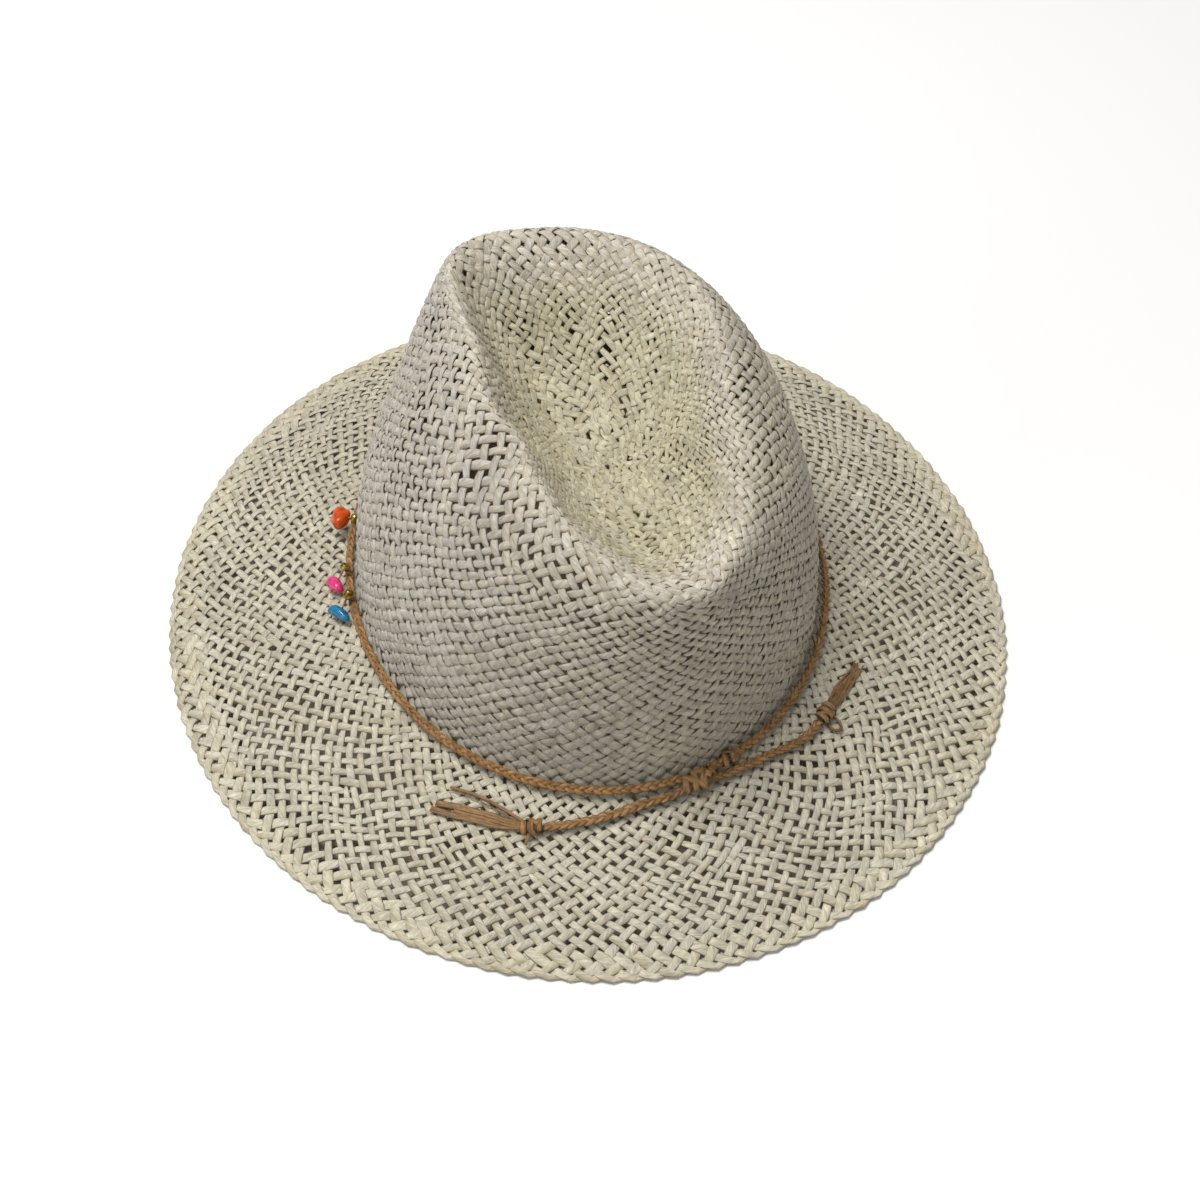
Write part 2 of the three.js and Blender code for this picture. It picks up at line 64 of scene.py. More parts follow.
def add_camera():
    azimuth, elevation = math.radians(AZIMUTH), math.radians(ELEVATION)
    back = Vector((
        math.sin(azimuth) * math.cos(elevation),
        -math.cos(azimuth) * math.cos(elevation),
        math.sin(elevation),
    ))
    data = bpy.data.cameras.new("camera")
    data.sensor_width = SENSOR
    data.lens = FOCAL_LENGTH / FRAME_WIDTH * SENSOR
    data.shift_x, data.shift_y = SHIFT[0] / FRAME_WIDTH, SHIFT[1] / FRAME_WIDTH
    data.clip_start = 0.01
    holder = add_object("camera", data)
    holder.location = back * DISTANCE
    holder.rotation_mode = "QUATERNION"
    holder.rotation_quaternion = (-back).to_track_quat("-Z", "Y")
    bpy.context.scene.camera = holder


add_camera()

# The hat's form, in millimetres

HEAD = (207.0, 170.0)
HEAD_TURN = -6.0
BRIM = (336.0, 317.0)
CROWN, BREAK, DENT_DEPTH = 122.0, 18.0, 40.0
DENT_SHIFT = (-4.0, 13.0)
STRAW, BORDER, GAP = 2.0, 4.0, 0.3
CORD, TAIL_CORD = 4.0, 3.6
# The dent's ridge. Columns: turn in degrees, reach, height and shoulder as shares, and how much the
# dent's wall is filled out there.
RIDGE = np.array([
    (0, 0.92, 1.018, 0.32, 0.5), (25, 0.93, 1.035, 0.29, 0.2), (50, 0.59, 1.01, 0.32, 0),
    (75, 0.49, 0.965, 0.37, 0), (105, 0.41, 0.927, 0.43, 0), (130, 0.49, 0.904, 0.48, 0),
    (155, 0.71, 0.895, 0.5, 0.1), (180, 1, 0.878, 0.51, 0.3), (205, 0.76, 0.864, 0.51, 0.6),
    (230, 0.56, 0.896, 0.52, 0.9), (255, 0.47, 0.938, 0.5, 1), (285, 0.52, 0.97, 0.49, 0.7),
    (310, 0.66, 0.991, 0.44, 1.2), (335, 0.82, 1.003, 0.38, 0.8),
])
# Rows of control points: how far out, how high, and for the dent how much of the filling
DENT_ROWS = [(0, 0, 0), (0.34, 0.02, 0.06), (0.68, 0.34, 0.24), (0.93, 0.98, 0)]
BRIM_ROWS = [(0.008, 1.08), (0.1, 0.94), (0.4, 0.7), (0.75, 0.4), (0.94, 0.17)]


def oval(size, angle):
    """Radius of an oval, longest from front to back."""
    a, b = size[0] / 2, size[1] / 2
    return a * b / np.hypot(b * np.cos(angle), a * np.sin(angle))


def ridge(column, angle):
    """A column of RIDGE as a smooth closed curve."""
    knots = np.radians(RIDGE[:, 0])
    count = len(knots)
    values = RIDGE[:, column]
    angle = np.mod(angle, TAU)
    at = np.concatenate([[knots[-1] - TAU], knots, [TAU, TAU + knots[1]]])
    value = np.concatenate([[values[-1]], values, [values[0], values[1]]])
    k = np.clip(np.searchsorted(at, angle, side="right") - 2, 0, count - 1)
    x_before, x_in, x_out, x_after = at[k], at[k + 1], at[k + 2], at[k + 3]
    before, start, end, after = value[k], value[k + 1], value[k + 2], value[k + 3]
    span = x_out - x_in
    slope_in = (end - before) / (x_out - x_before) * span
    slope_out = (after - start) / (x_after - x_in) * span
    t = (angle - x_in) / span
    return (start * (2 * t**3 - 3 * t**2 + 1) + slope_in * (t**3 - 2 * t**2 + t)
            + end * (3 * t**2 - 2 * t**3) + slope_out * (t**3 - t**2))


def section_rows(angle):
    """Control points of the straw's upper face, one row of 15 for each turn."""
    reach = ridge(1, angle) * HEAD[1] / 2
    height = ridge(2, angle) * CROWN
    shoulder = ridge(3, angle)
    ease = ridge(4, angle)
    head = oval(HEAD, angle - math.radians(HEAD_TURN))
    border = oval(BRIM, angle) - BORDER
    floor = CROWN - DENT_DEPTH
    out_x, out_y = np.sin(angle), -np.cos(angle)
    rows = []

    def add(radius, z, shift):
        rows.append(np.stack([
            radius * out_x + DENT_SHIFT[0] * shift,
            radius * out_y + DENT_SHIFT[1] * shift,
            z + 0 * angle,
        ]))

    for out, lift, more in DENT_ROWS:
        add(out * reach, floor + (lift + more * ease) * (height - floor), 1)
    add(reach * 1.05, BREAK + 1.03 * (height - BREAK), 1)
    add(reach + shoulder * (head - reach), BREAK + 0.91 * (height - BREAK), 0.6)
    share = shoulder + (1 - shoulder) * 0.54
    add(reach + share * (head - reach), BREAK + 0.66 * (height - BREAK), 0.2)
    add(reach + 0.98 * (head - reach), BREAK + 0.34 * (height - BREAK), 0)
    add(head, BREAK + 0.13 * (height - BREAK), 0)
    for out, lift in BRIM_ROWS:
        add(head + out * (border - head), lift * BREAK, 0)
    add(border, STRAW, 0)
    return np.stack(rows)


def spline_weights(count, t):
    """Weights of a clamped cubic spline's control points."""
    knots = np.concatenate([np.zeros(3), np.linspace(0, 1, count - 2), np.ones(3)])
    t = np.clip(t, 0, 1 - 1e-12)
    weights = np.array([((t >= knots[i]) & (t < knots[i + 1])) * 1.0 for i in range(count + 3)])
    for degree in range(1, 4):
        rows = []
        for i in range(count + 3 - degree):
            value = 0 * t
            rise = knots[i + degree] - knots[i]
            fall = knots[i + degree + 1] - knots[i + 1]
            if rise > 0:
                value = value + (t - knots[i]) / rise * weights[i]
            if fall > 0:
                value = value + (knots[i + degree + 1] - t) / fall * weights[i + 1]
            rows.append(value)
        weights = np.array(rows)
    return weights


def upper_face(angle, t):
    """Points of the straw's upper face: t runs from the dent's middle, 0, to the border, 1."""
    control = section_rows(angle)
    return np.einsum("mk,mcn->knc", spline_weights(len(control), t), control)


def profile(turn):
    """Radius and height of the outer crown and the brim along one turn."""
    line = upper_face(np.array([math.radians(turn)]), np.arange(16, 28) / 27)[:, 0]
    return np.stack([np.hypot(line[:, 0], line[:, 1]), line[:, 2]], axis=1)


def distance_to(line, points):
    """Distance from each point to a line of points in a plane."""
    a, b = line[None, :-1], line[None, 1:]
    p = points[:, None]
    along = np.sum((p - a) * (b - a), axis=2) / np.sum((b - a) ** 2, axis=2)
    foot = a + np.clip(along, 0, 1)[..., None] * (b - a)
    return np.linalg.norm(p - foot, axis=2).min(axis=1)


# Seats are searched in steps of this size, up to this height.
SEAT_STEP, SEAT_REACH = 0.02, 40


def head_radius(turn):
    return float(oval(HEAD, math.radians(turn - HEAD_TURN)))


def outwards(turn):
    return np.array([math.sin(math.radians(turn)), -math.cos(math.radians(turn)), 0.0])


def turn_of(point):
    return math.degrees(math.atan2(point[0], -point[1]))


def corner_seat(turn, clear):
    """Where a cord's middle rests between crown and brim."""
    away = np.arange(2 * clear + GAP, 0, -SEAT_STEP)
    spots = np.stack([head_radius(turn) + away, BREAK + away], axis=1)
    near = np.nonzero(distance_to(profile(turn), spots) <= clear)[0]
    k = near[0] if len(near) else len(away) - 1
    at = away[k] + SEAT_STEP
    point = outwards(turn) * (head_radius(turn) + at)
    point[2] = BREAK + at
    return point


def brim_seat(x, y, clear):
    """The point above (x, y) where the middle of something of that half height lies on the brim."""
    line = profile(turn_of((x, y)))
    radius = math.hypot(x, y)
    z = np.arange(0, SEAT_REACH, SEAT_STEP)
    spots = np.stack([radius + 0 * z, z], axis=1)
    order = np.argsort(line[:, 0])
    ground = np.interp(radius, line[order, 0], line[order, 1])
    good = (distance_to(line, spots) >= clear) & (z >= ground)
    return np.array([x, y, z[np.argmax(good)]])


def brim_point(turn, out, clear):
    spot = outwards(turn) * (head_radius(turn) + out)
    return brim_seat(spot[0], spot[1], clear)


# Mesh and material helpers


def unit(v):
    return v / np.maximum(np.linalg.norm(v, axis=-1, keepdims=True), 1e-9)


def linear(*rgb):
    """A screen colour of 0 to 255 as linear light."""
    c = np.array(rgb) / 255
    return np.where(c <= 0.04045, c / 12.92, ((c + 0.055) / 1.055) ** 2.4)


def lengths(line):
    """Length along a line at each of its points."""
    return np.concatenate([[0], np.cumsum(np.linalg.norm(np.diff(line, axis=0), axis=1))])


class Tubes:
    """Collects swept tubes into one mesh with a tint, and an across and an along coordinate."""

    def __init__(self):
        self.points, self.faces, self.ends, self.tint, self.across, self.along = [], [], [], [], [], []
        self.count = 0

    def add(self, centre, side, up, section, width, height, tint, start=0.0, shade=1.0):
        n, m = len(centre), section.shape[-2]
        width = np.broadcast_to(width, n)[:, None, None]
        height = np.broadcast_to(height, n)[:, None, None]
        section = np.broadcast_to(section, (n, m, 2))
        ring = (centre[:, None] + side[:, None] * section[:, :, :1] * width / 2
                + up[:, None] * section[:, :, 1:] * height / 2)
        k = np.arange(n * m).reshape(n, m) + self.count
        right = np.roll(k, -1, axis=1)
        self.faces.append(np.stack([k[:-1], right[:-1], right[1:], k[1:]], axis=-1).reshape(-1, 4))
        self.ends += [k[0][::-1], k[-1]]
        self.points.append(ring.reshape(-1, 3))
        # shade multiplies the tint at each point of the section, which paints shade onto a tube's edges
        # and underside.
        tint = np.broadcast_to(tint, (n, 3))[:, None] * np.broadcast_to(shade, (m, 3))
        self.tint.append(tint.reshape(-1, 3))
        self.across.append(np.tile(np.linspace(0, 1, m), n))
        self.along.append(np.repeat(lengths(centre) + start, m))
        self.count += n * m

    def mesh(self, name, material):
        data = bpy.data.meshes.new(name)
        points = np.concatenate(self.points) * MM
        quads = np.concatenate(self.faces)
        loops = np.concatenate([quads.reshape(-1)] + self.ends)
        sizes = np.concatenate([np.full(len(quads), 4), [len(e) for e in self.ends]])
        starts = np.concatenate([[0], np.cumsum(sizes)[:-1]])
        data.vertices.add(len(points))
        data.vertices.foreach_set("co", points.reshape(-1))
        data.loops.add(len(loops))
        data.loops.foreach_set("vertex_index", loops.astype(np.int32))
        data.polygons.add(len(sizes))
        data.polygons.foreach_set("loop_start", starts.astype(np.int32))
        data.polygons.foreach_set("use_smooth", np.ones(len(sizes), bool))
        data.update(calc_edges=True)
        tint = data.attributes.new("tint", "FLOAT_COLOR", "POINT")
        colours = np.concatenate(self.tint)
        tint.data.foreach_set("color", np.column_stack([colours, np.ones(len(colours))]).reshape(-1))
        for label, values in (("across", self.across), ("along", self.along)):
            layer = data.attributes.new(label, "FLOAT", "POINT")
            layer.data.foreach_set("value", np.concatenate(values).astype(np.float32))
        data.validate()
        data.materials.append(material)
        return add_object(name, data)


def settle(piece, cad_node):
    """Puts a piece on the hat's one body, in place of its solid."""
    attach(piece, "root")
    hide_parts(cad_node)
    return piece


def new_material(name):
    material = bpy.data.materials.new(name)
    material.use_nodes = True
    tree = material.node_tree
    return material, tree, tree.nodes["Principled BSDF"]


def node(tree, kind, inputs, **settings):
    """A shader node whose inputs are linked to the sockets given, or set to the values given."""
    made = tree.nodes.new(kind)
    for key, value in settings.items():
        setattr(made, key, value)
    for key, value in inputs.items():
        if isinstance(value, bpy.types.NodeSocket):
            tree.links.new(value, made.inputs[key])
        else:
            made.inputs[key].default_value = value
    return made


def combine(tree, operation, *values, kind="ShaderNodeMath"):
    """What a maths node makes of the values or sockets given."""
    return node(tree, kind, dict(enumerate(values)), operation=operation).outputs[0]


def colour_ramp(tree, value, *stops):
    """Colours that follow a value: each stop is a place and a colour, in rising order."""
    made = node(tree, "ShaderNodeValToRGB", {"Fac": value})
    elements = made.color_ramp.elements
    for k in (0, -1):
        elements[k].position, elements[k].color = stops[k][0], (*stops[k][1], 1)
    for at, colour in stops[1:-1]:
        elements.new(at).color = (*colour, 1)
    return made.outputs["Color"]


# How much slower the fibres' pattern changes along a strand than across it
FIBRE_STRETCH = 0.22


def fibre_material(name, mean, roughness, fibres, depth, contrast, twist=0.0):
    """Tinted strands with fine fibres that run along them."""
    material, tree, shader = new_material(name)
    tint = node(tree, "ShaderNodeAttribute", {}, attribute_name="tint")
    across = node(tree, "ShaderNodeAttribute", {}, attribute_name="across")
    along = node(tree, "ShaderNodeAttribute", {}, attribute_name="along")
    place = node(tree, "ShaderNodeNewGeometry", {})
    around = combine(tree, "MULTIPLY", along.outputs["Fac"], twist)
    wide = combine(tree, "MULTIPLY_ADD", across.outputs["Fac"], fibres, around)
    far = combine(tree, "MULTIPLY", along.outputs["Fac"], FIBRE_STRETCH)
    line = node(tree, "ShaderNodeCombineXYZ", {"X": wide, "Y": far})
    grain = node(tree, "ShaderNodeTexNoise", {
        "Vector": line.outputs[0], "Scale": 1.0, "Detail": 3.0, "Roughness": 0.6,
    })
    patches = node(tree, "ShaderNodeTexNoise", {
        "Vector": place.outputs["Position"], "Scale": 260.0, "Detail": 4.0, "Roughness": 0.65,
    })
    shade = node(tree, "ShaderNodeMapRange", {
        "Value": grain.outputs["Fac"], "From Min": 0.25, "From Max": 0.75,
        "To Min": 1 - contrast, "To Max": 1 + contrast * 0.8,
    })
    mottle = node(tree, "ShaderNodeMapRange", {
        "Value": patches.outputs["Fac"], "From Min": 0.3, "From Max": 0.7,
        "To Min": 1 - contrast * 0.5, "To Max": 1 + contrast * 0.25,
    })
    both = combine(tree, "MULTIPLY", shade.outputs[0], mottle.outputs[0])
    colour = combine(tree, "MULTIPLY", tint.outputs["Color"], both, kind="ShaderNodeVectorMath")
    tree.links.new(colour, shader.inputs["Base Color"])
    shader.inputs["Roughness"].default_value = roughness
    shader.inputs["Specular IOR Level"].default_value = 0.3
    mixed = combine(tree, "ADD", grain.outputs["Fac"], patches.outputs["Fac"])
    bump = node(tree, "ShaderNodeBump", {
        "Height": mixed, "Strength": 0.7, "Distance": depth * MM,
    })
    tree.links.new(bump.outputs[0], shader.inputs["Normal"])
    material.diffuse_color = (*mean, 1)
    return material


RNG = np.random.default_rng(20)


def soft(t):
    t = np.clip(t, 0, 1)
    return t * t * (3 - 2 * t)


def wander(x, cell, rng, amount=1.0):
    """Smooth random numbers between -amount and amount along x."""
    low = math.floor(x.min() / cell) - 1
    high = math.ceil(x.max() / cell) + 2
    values = rng.uniform(-1, 1, high - low + 1)
    u = x / cell - low
    k = np.floor(u).astype(int)
    f = soft(u - k)
    return amount * (values[k] * (1 - f) + values[k + 1] * f)


class Field:
    """Smooth random numbers over the hat, closed round it."""

    def __init__(self, across, cell, length, rng):
        self.across, self.cell = across, cell
        self.values = rng.uniform(-1, 1, (int(length / cell) + 3, across))

    def at(self, psi, s):
        u = np.mod(psi / TAU, 1) * self.across
        v = np.clip(s / self.cell, 0, len(self.values) - 2.001)
        i, j = np.floor(u).astype(int), np.floor(v).astype(int)
        fu, fv = soft(u - i), soft(v - j)
        i, i2 = i % self.across, (i + 1) % self.across
        a = self.values[j, i] * (1 - fu) + self.values[j, i2] * fu
        b = self.values[j + 1, i] * (1 - fu) + self.values[j + 1, i2] * fu
        return a * (1 - fv) + b * fv


# The skin that the strands follow

# Places round each row, the rows' distance, and the first share t, just off the middle
AROUND, ROW_STEP, FIRST_T = 720, 0.5, 0.0012


def make_skin():
    """Rows of points and normals at even distances from the dent's middle, with their mean radius."""
    angle = np.linspace(0, TAU, 2 * AROUND, endpoint=False)
    t = np.concatenate([np.linspace(FIRST_T, 0.02, 16), np.linspace(0.022, 1, 620)])
    rows = upper_face(angle, t)
    outer = np.stack([np.sin(angle), -np.cos(angle), 0 * angle], axis=1)
    edge = rows[-1]
    border = [edge + outer * d for d in np.linspace(0, BORDER, 12)[1:]]
    rows = np.concatenate([rows, np.array(border)])
    rings, reach = [], []
    for row in rows:
        closed = np.concatenate([row, row[:1]])
        length = lengths(closed)
        want = np.linspace(0, length[-1], AROUND, endpoint=False)
        rings.append(np.stack([np.interp(want, length, closed[:, c]) for c in range(3)], axis=1))
        reach.append(length[-1] / TAU)
    rings = np.array(rings)
    step = np.linalg.norm(np.diff(rings, axis=0), axis=2).mean(axis=1)
    s = np.concatenate([[0], np.cumsum(step)])
    even = np.arange(0, s[-1], ROW_STEP)
    even[-1] = s[-1] if s[-1] - even[-1] < ROW_STEP / 2 else even[-1]
    k = np.clip(np.searchsorted(s, even, side="right") - 1, 0, len(s) - 2)
    f = (even - s[k]) / (s[k + 1] - s[k])
    grid = rings[k] * (1 - f)[:, None, None] + rings[k + 1] * f[:, None, None]
    reach = np.interp(even, s, reach)
    across = np.roll(grid, -1, axis=1) - np.roll(grid, 1, axis=1)
    normal = unit(np.cross(np.gradient(grid, axis=0), across))
    return even, reach, grid, normal


S_ROWS, REACH, SKIN, NORMAL = make_skin()
S_END = S_ROWS[-1]
# How much longer one step outwards is than the mean step of its row
STRETCH = np.linalg.norm(np.gradient(SKIN, axis=0), axis=2) / ROW_STEP
MIDDLE = SKIN - NORMAL * STRAW / 2


def skin_at(psi, s):
    """Point and normal in the middle of the straw, psi round the row and s out from the middle."""
    u = np.mod(psi / TAU, 1) * AROUND
    v = np.clip(s / ROW_STEP, 0, len(S_ROWS) - 1.001)
    i, j = np.floor(u).astype(int), np.floor(v).astype(int)
    fu, fv = (u - i)[:, None], (v - j)[:, None]
    i, i2 = i % AROUND, (i + 1) % AROUND

    def blend(grid):
        return ((grid[j, i] * (1 - fu) + grid[j, i2] * fu) * (1 - fv)
                + (grid[j + 1, i] * (1 - fu) + grid[j + 1, i2] * fu) * fv)

    return blend(MIDDLE), unit(blend(NORMAL))


def stretch_at(psi, s):
    u = np.mod(psi / TAU, 1) * AROUND
    v = np.clip(s / ROW_STEP, 0, len(S_ROWS) - 1.001)
    return STRETCH[v.astype(int), u.astype(int) % AROUND]


def s_of_t(t_value):
    """Row place of the control share t, from the middle ring."""
    angle = np.linspace(0, TAU, 90, endpoint=False)
    rows = upper_face(angle, np.linspace(FIRST_T, t_value, 200))
    return float(np.linalg.norm(np.diff(rows, axis=0), axis=2).mean(axis=1).sum())


# The weave

# Where the strands start, and where the ridge and the foot of the crown lie, out from the middle
S_START = float(np.interp(0.7, REACH, S_ROWS))
S_CREST = s_of_t(0.335)
S_BREAK = s_of_t(0.70)
# Where the count of strands changes: (mean radius where it starts, strands in each direction)
ZONES = [(0, 7), (7, 14), (13, 24), (21, 38), (31, 56), (43, 80), (78, 94), (99, 120), (130, 142)]
BORDER_WIDTH, BORDER_STRANDS = 8.0, 148


def slant():
    """Each row's way round for one step outwards."""
    return np.interp(S_ROWS, [0, S_CREST, S_BREAK - 8, S_BREAK + 6, S_END - 5, S_END],
                     [1, 1.05, 1.12, 1.12, 1.2, 2.2])


PHI = np.concatenate([[0], np.cumsum((slant() / np.maximum(REACH, 2))[:-1] * ROW_STEP)])


def phi(s):
    """The angle that a strand has gone round at s."""
    return np.interp(s, S_ROWS, PHI)


def plan_zones():
    """Where each zone starts, its strands, and the offset that joins its crossings to the last zone's."""
    steady = np.maximum.accumulate(REACH)
    edges = [float(np.interp(r, steady, S_ROWS)) for r, _ in ZONES]
    edges[0] = S_START
    counts = [n for _, n in ZONES]
    edges.append(S_END - BORDER_WIDTH)
    counts.append(BORDER_STRANDS)
    offsets = [0.0]
    for z in range(1, len(counts)):
        here = float(phi(edges[z]))
        theta = counts[z - 1] * (here - offsets[-1])
        c = here - theta / counts[z]
        pitch = TAU / counts[z]
        c += pitch * round((offsets[-1] - c) / pitch)
        offsets.append(c)
    # The rim falls on a row of crossings.
    last = counts[-1] * (float(phi(S_END)) - offsets[-1])
    slip = last - math.pi * round(last / math.pi)
    offsets[-1] += slip / counts[-1]
    return edges, counts, offsets


EDGES, COUNTS, OFFSETS = plan_zones()


def rise(s):
    """Phase of over and under along every strand."""
    value = np.zeros_like(s)
    for edge, count, offset in zip(EDGES, COUNTS, OFFSETS):
        value = np.where(s > edge, count * (phi(s) - offset), value)
    return value


def strand_bases(sign):
    """For every strand: the zone where it starts, and its base angle in each zone from there."""
    alive = [[0, [TAU * i / COUNTS[0] - sign * OFFSETS[0]]] for i in range(COUNTS[0])]
    for z in range(1, len(COUNTS)):
        n = COUNTS[z]
        used = set()
        for strand in alive:
            old = strand[1][-1]
            j = math.floor((old + sign * OFFSETS[z]) * n / TAU + 0.5)
            strand[1].append(TAU * j / n - sign * OFFSETS[z])
            used.add(j % n)
        for j in range(n):
            if j not in used:
                alive.append([z, [TAU * j / n - sign * OFFSETS[z]]])
    return alive


def spacing(s):
    """Distance between neighbouring strands of one direction."""
    n = np.full(len(s), COUNTS[0], float)
    for z in range(1, len(COUNTS)):
        n = n + (COUNTS[z] - COUNTS[z - 1]) * soft((s - EDGES[z]) / 5 + 0.5)
    lean = np.interp(s, S_ROWS, slant())
    return TAU * np.interp(s, S_ROWS, REACH) / n / np.hypot(1, lean)


def strand_rows():
    """The places of a strand's points: three from one crossing to the next."""
    rows = []
    s, z = S_START, 0
    while s < S_END:
        rows.append(s)
        while z + 1 < len(COUNTS) and s >= EDGES[z + 1]:
            z += 1
        rate = float(np.interp(s, S_ROWS, slant() / np.maximum(REACH, 2)))
        s += math.pi / COUNTS[z] / rate / 3
    return np.array(rows)


ROWS = strand_rows()
WARP_PSI = Field(46, 11.0, S_END, RNG)
WARP_S = Field(40, 13.0, S_END, RNG)
OPENNESS = Field(34, 9.0, S_END, RNG)
SHADE = Field(24, 14.0, S_END, RNG)

BRIM_TINT = linear(196, 191, 174)
EDGE_TINT = linear(201, 195, 175)
SIDE_TINT = linear(182, 177, 168)
DENT_TINT = linear(203, 197, 183)
# Painted shade: deep in the dent the straw is tinted darker and yellower.
DEEP_PAINTED_SHADE_TINT = linear(196, 190, 167)


def cover(s):
    """How much of its place a strand fills."""
    at = [0, S_CREST - 30, S_CREST - 4, S_CREST + 18, S_BREAK - 34, S_BREAK - 6, S_BREAK + 8,
          S_BREAK + 22, S_END - 13, S_END - 8, S_END]
    fill = [0.86, 0.77, 0.7, 0.68, 0.74, 0.79, 0.72, 0.64, 0.63, 0.82, 0.86]
    return np.interp(s, at, fill)


def count_at(s):
    zone = np.searchsorted(EDGES, s, side="right") - 1
    return np.array(COUNTS)[np.clip(zone, 0, len(COUNTS) - 1)]


def zigzag(s):
    """How much the strands sway sideways between their crossings."""
    at = [0, S_CREST - 10, S_CREST + 12, S_BREAK - 8, S_BREAK + 6, S_END - 12, S_END - 6]
    return np.interp(s, at, [0.05, 0.1, 0.3, 0.3, 0.1, 0.1, 0.0])


def relief(s):
    """How far a strand rises and dips at its crossings."""
    return np.interp(s, [0, S_CREST - 12, S_CREST + 8, S_BREAK - 6, S_BREAK + 8, S_END],
                     [0.46, 0.52, 0.62, 0.62, 0.46, 0.46])


def lens(s):
    """How much wider a strand is where it lies on top."""
    return np.interp(s, [0, S_CREST, S_CREST + 14, S_BREAK - 6, S_BREAK + 8, S_END],
                     [0.08, 0.12, 0.2, 0.22, 0.08, 0.05])


def region_tint(psi, s):
    """The straw's colour in the dent, on the crown's side, on the brim and at the rim, with painted shade
    deep in the dent and on one side of the crown.
    """
    crest = soft((s - S_CREST + 24) / 22)
    brim = soft((s - S_BREAK + 2) / 8)
    rim = soft((s - S_END + 14) / 9)
    # Painted shade: the crown's side is tinted darker and warmer round one side of the hat.
    warm = soft(0.5 - 0.5 * np.cos(psi - 0.9))[:, None] * np.array([0.03, 0.05, 0.14])
    deep = soft((S_CREST - 26 - s) / 18)[:, None]
    dent = DENT_TINT * (1 - deep) + DEEP_PAINTED_SHADE_TINT * deep
    tint = dent * (1 - crest)[:, None] + SIDE_TINT * (1 - warm) * crest[:, None]
    tint = tint * (1 - brim)[:, None] + BRIM_TINT * brim[:, None]
    return tint * (1 - rim)[:, None] + EDGE_TINT * rim[:, None]


def strand_path(strand, sign, rng):
    """Way of one strand over the skin, and its rise over (1) and under (-1) the others."""
    start_zone, bases = strand
    begin = S_START if start_zone == 0 else EDGES[start_zone] - 1.0
    s = ROWS[ROWS >= begin]
    base = np.full(len(s), bases[0])
    for k in range(1, len(bases)):
        reach = 1.3 * math.pi / COUNTS[start_zone + k] * float(
            np.interp(EDGES[start_zone + k], S_ROWS, REACH))
        w = soft((s - EDGES[start_zone + k]) / (2 * reach) + 0.5)
        base = base + (bases[k] - bases[k - 1]) * w
    psi = base + sign * phi(s)
    gap = spacing(s)
    radius = np.interp(s, S_ROWS, REACH)
    calm = soft((S_END - s) / 6) * soft((s - S_START) / 12)
    own = wander(s, 9.0, rng, 0.16) * gap / radius
    psi = psi + own * (0.25 + 0.75 * calm)
    theta = rise(s)
    psi = psi + zigzag(s) * np.sin(theta) / count_at(s)
    lift = sign * np.cos(theta)
    return s, psi, lift, gap, calm, start_zone > 0


def finish_path(s, psi, lift, gap, calm, fresh, rng):
    """Centre, normal, width, thickness and tint along a strand."""
    radius = np.interp(s, S_ROWS, REACH)
    even = calm * np.interp(s, [0, S_CREST, S_CREST + 20, S_BREAK, S_BREAK + 15], [1, 1, 0.6, 0.6, 1])
    psi_warp = psi + even * 1.5 * WARP_PSI.at(psi, s) / radius
    s_warp = s + even * 1.6 * WARP_S.at(psi, s)
    centre, normal = skin_at(psi_warp, s_warp)
    lean = np.interp(s, S_ROWS, slant())
    stretch = stretch_at(psi_warp, s_warp)
    gap = gap * np.clip(stretch * np.hypot(1, lean) / np.hypot(stretch, lean), 0.75, 1.3)
    open_up = OPENNESS.at(psi, s)
    front = soft(np.cos(psi) * 1.6 - 0.6)
    closer = 1 + 0.1 * front * soft((s - S_CREST + 40) / 20) * soft((S_BREAK - s) / 6)
    width = gap * cover(s) * (1 - 0.09 * open_up) * (1 + wander(s, 6.0, rng, 0.13)) * closer
    thick = np.minimum(1.0, 0.4 + 0.24 * width) * (1 + wander(s, 7.0, rng, 0.08))
    width = width * (1 + lens(s) * lift)
    bulge = relief(s) * np.minimum(1, gap / 3.0)
    centre = centre + normal * (lift * bulge)[:, None]
    tone = 1 + 0.05 * SHADE.at(psi, s) + rng.uniform(-0.055, 0.045) + wander(s, 5.0, rng, 0.035)
    warm = rng.uniform(-0.5, 1.0) * 0.035
    tint = region_tint(psi, s) * tone[:, None] * np.array([1 + warm * 0.3, 1.0, 1 - warm])
    if fresh:
        width[:3] *= [0.45, 0.7, 0.9]
        thick[:3] *= [0.4, 0.7, 0.9]
    return centre, normal, width, thick, tint


def strand_layers(strand, sign, rng):
    s, *path = strand_path(strand, sign, rng)
    return s, finish_path(s, *path, rng)


BASE_SECTION = np.array([
    (-1, -0.1), (-0.8, 0.5), (-0.36, 0.92), (0.2, 0.84), (0.74, 0.62), (1, -0.1), (0.5, -0.9),
    (-0.5, -0.9),
])
# Painted shade: a strand's edges and its underside are darkened where shade falls between and under the
# strands.
STRAND_PAINTED_SHADE = np.array([
    [0.84, 0.81, 0.75], [0.97, 0.96, 0.94], [1, 1, 1], [1, 1, 1], [0.98, 0.97, 0.95],
    [0.84, 0.81, 0.75], [0.76, 0.72, 0.65], [0.76, 0.72, 0.65],
])
GROOVE_POINT = 3


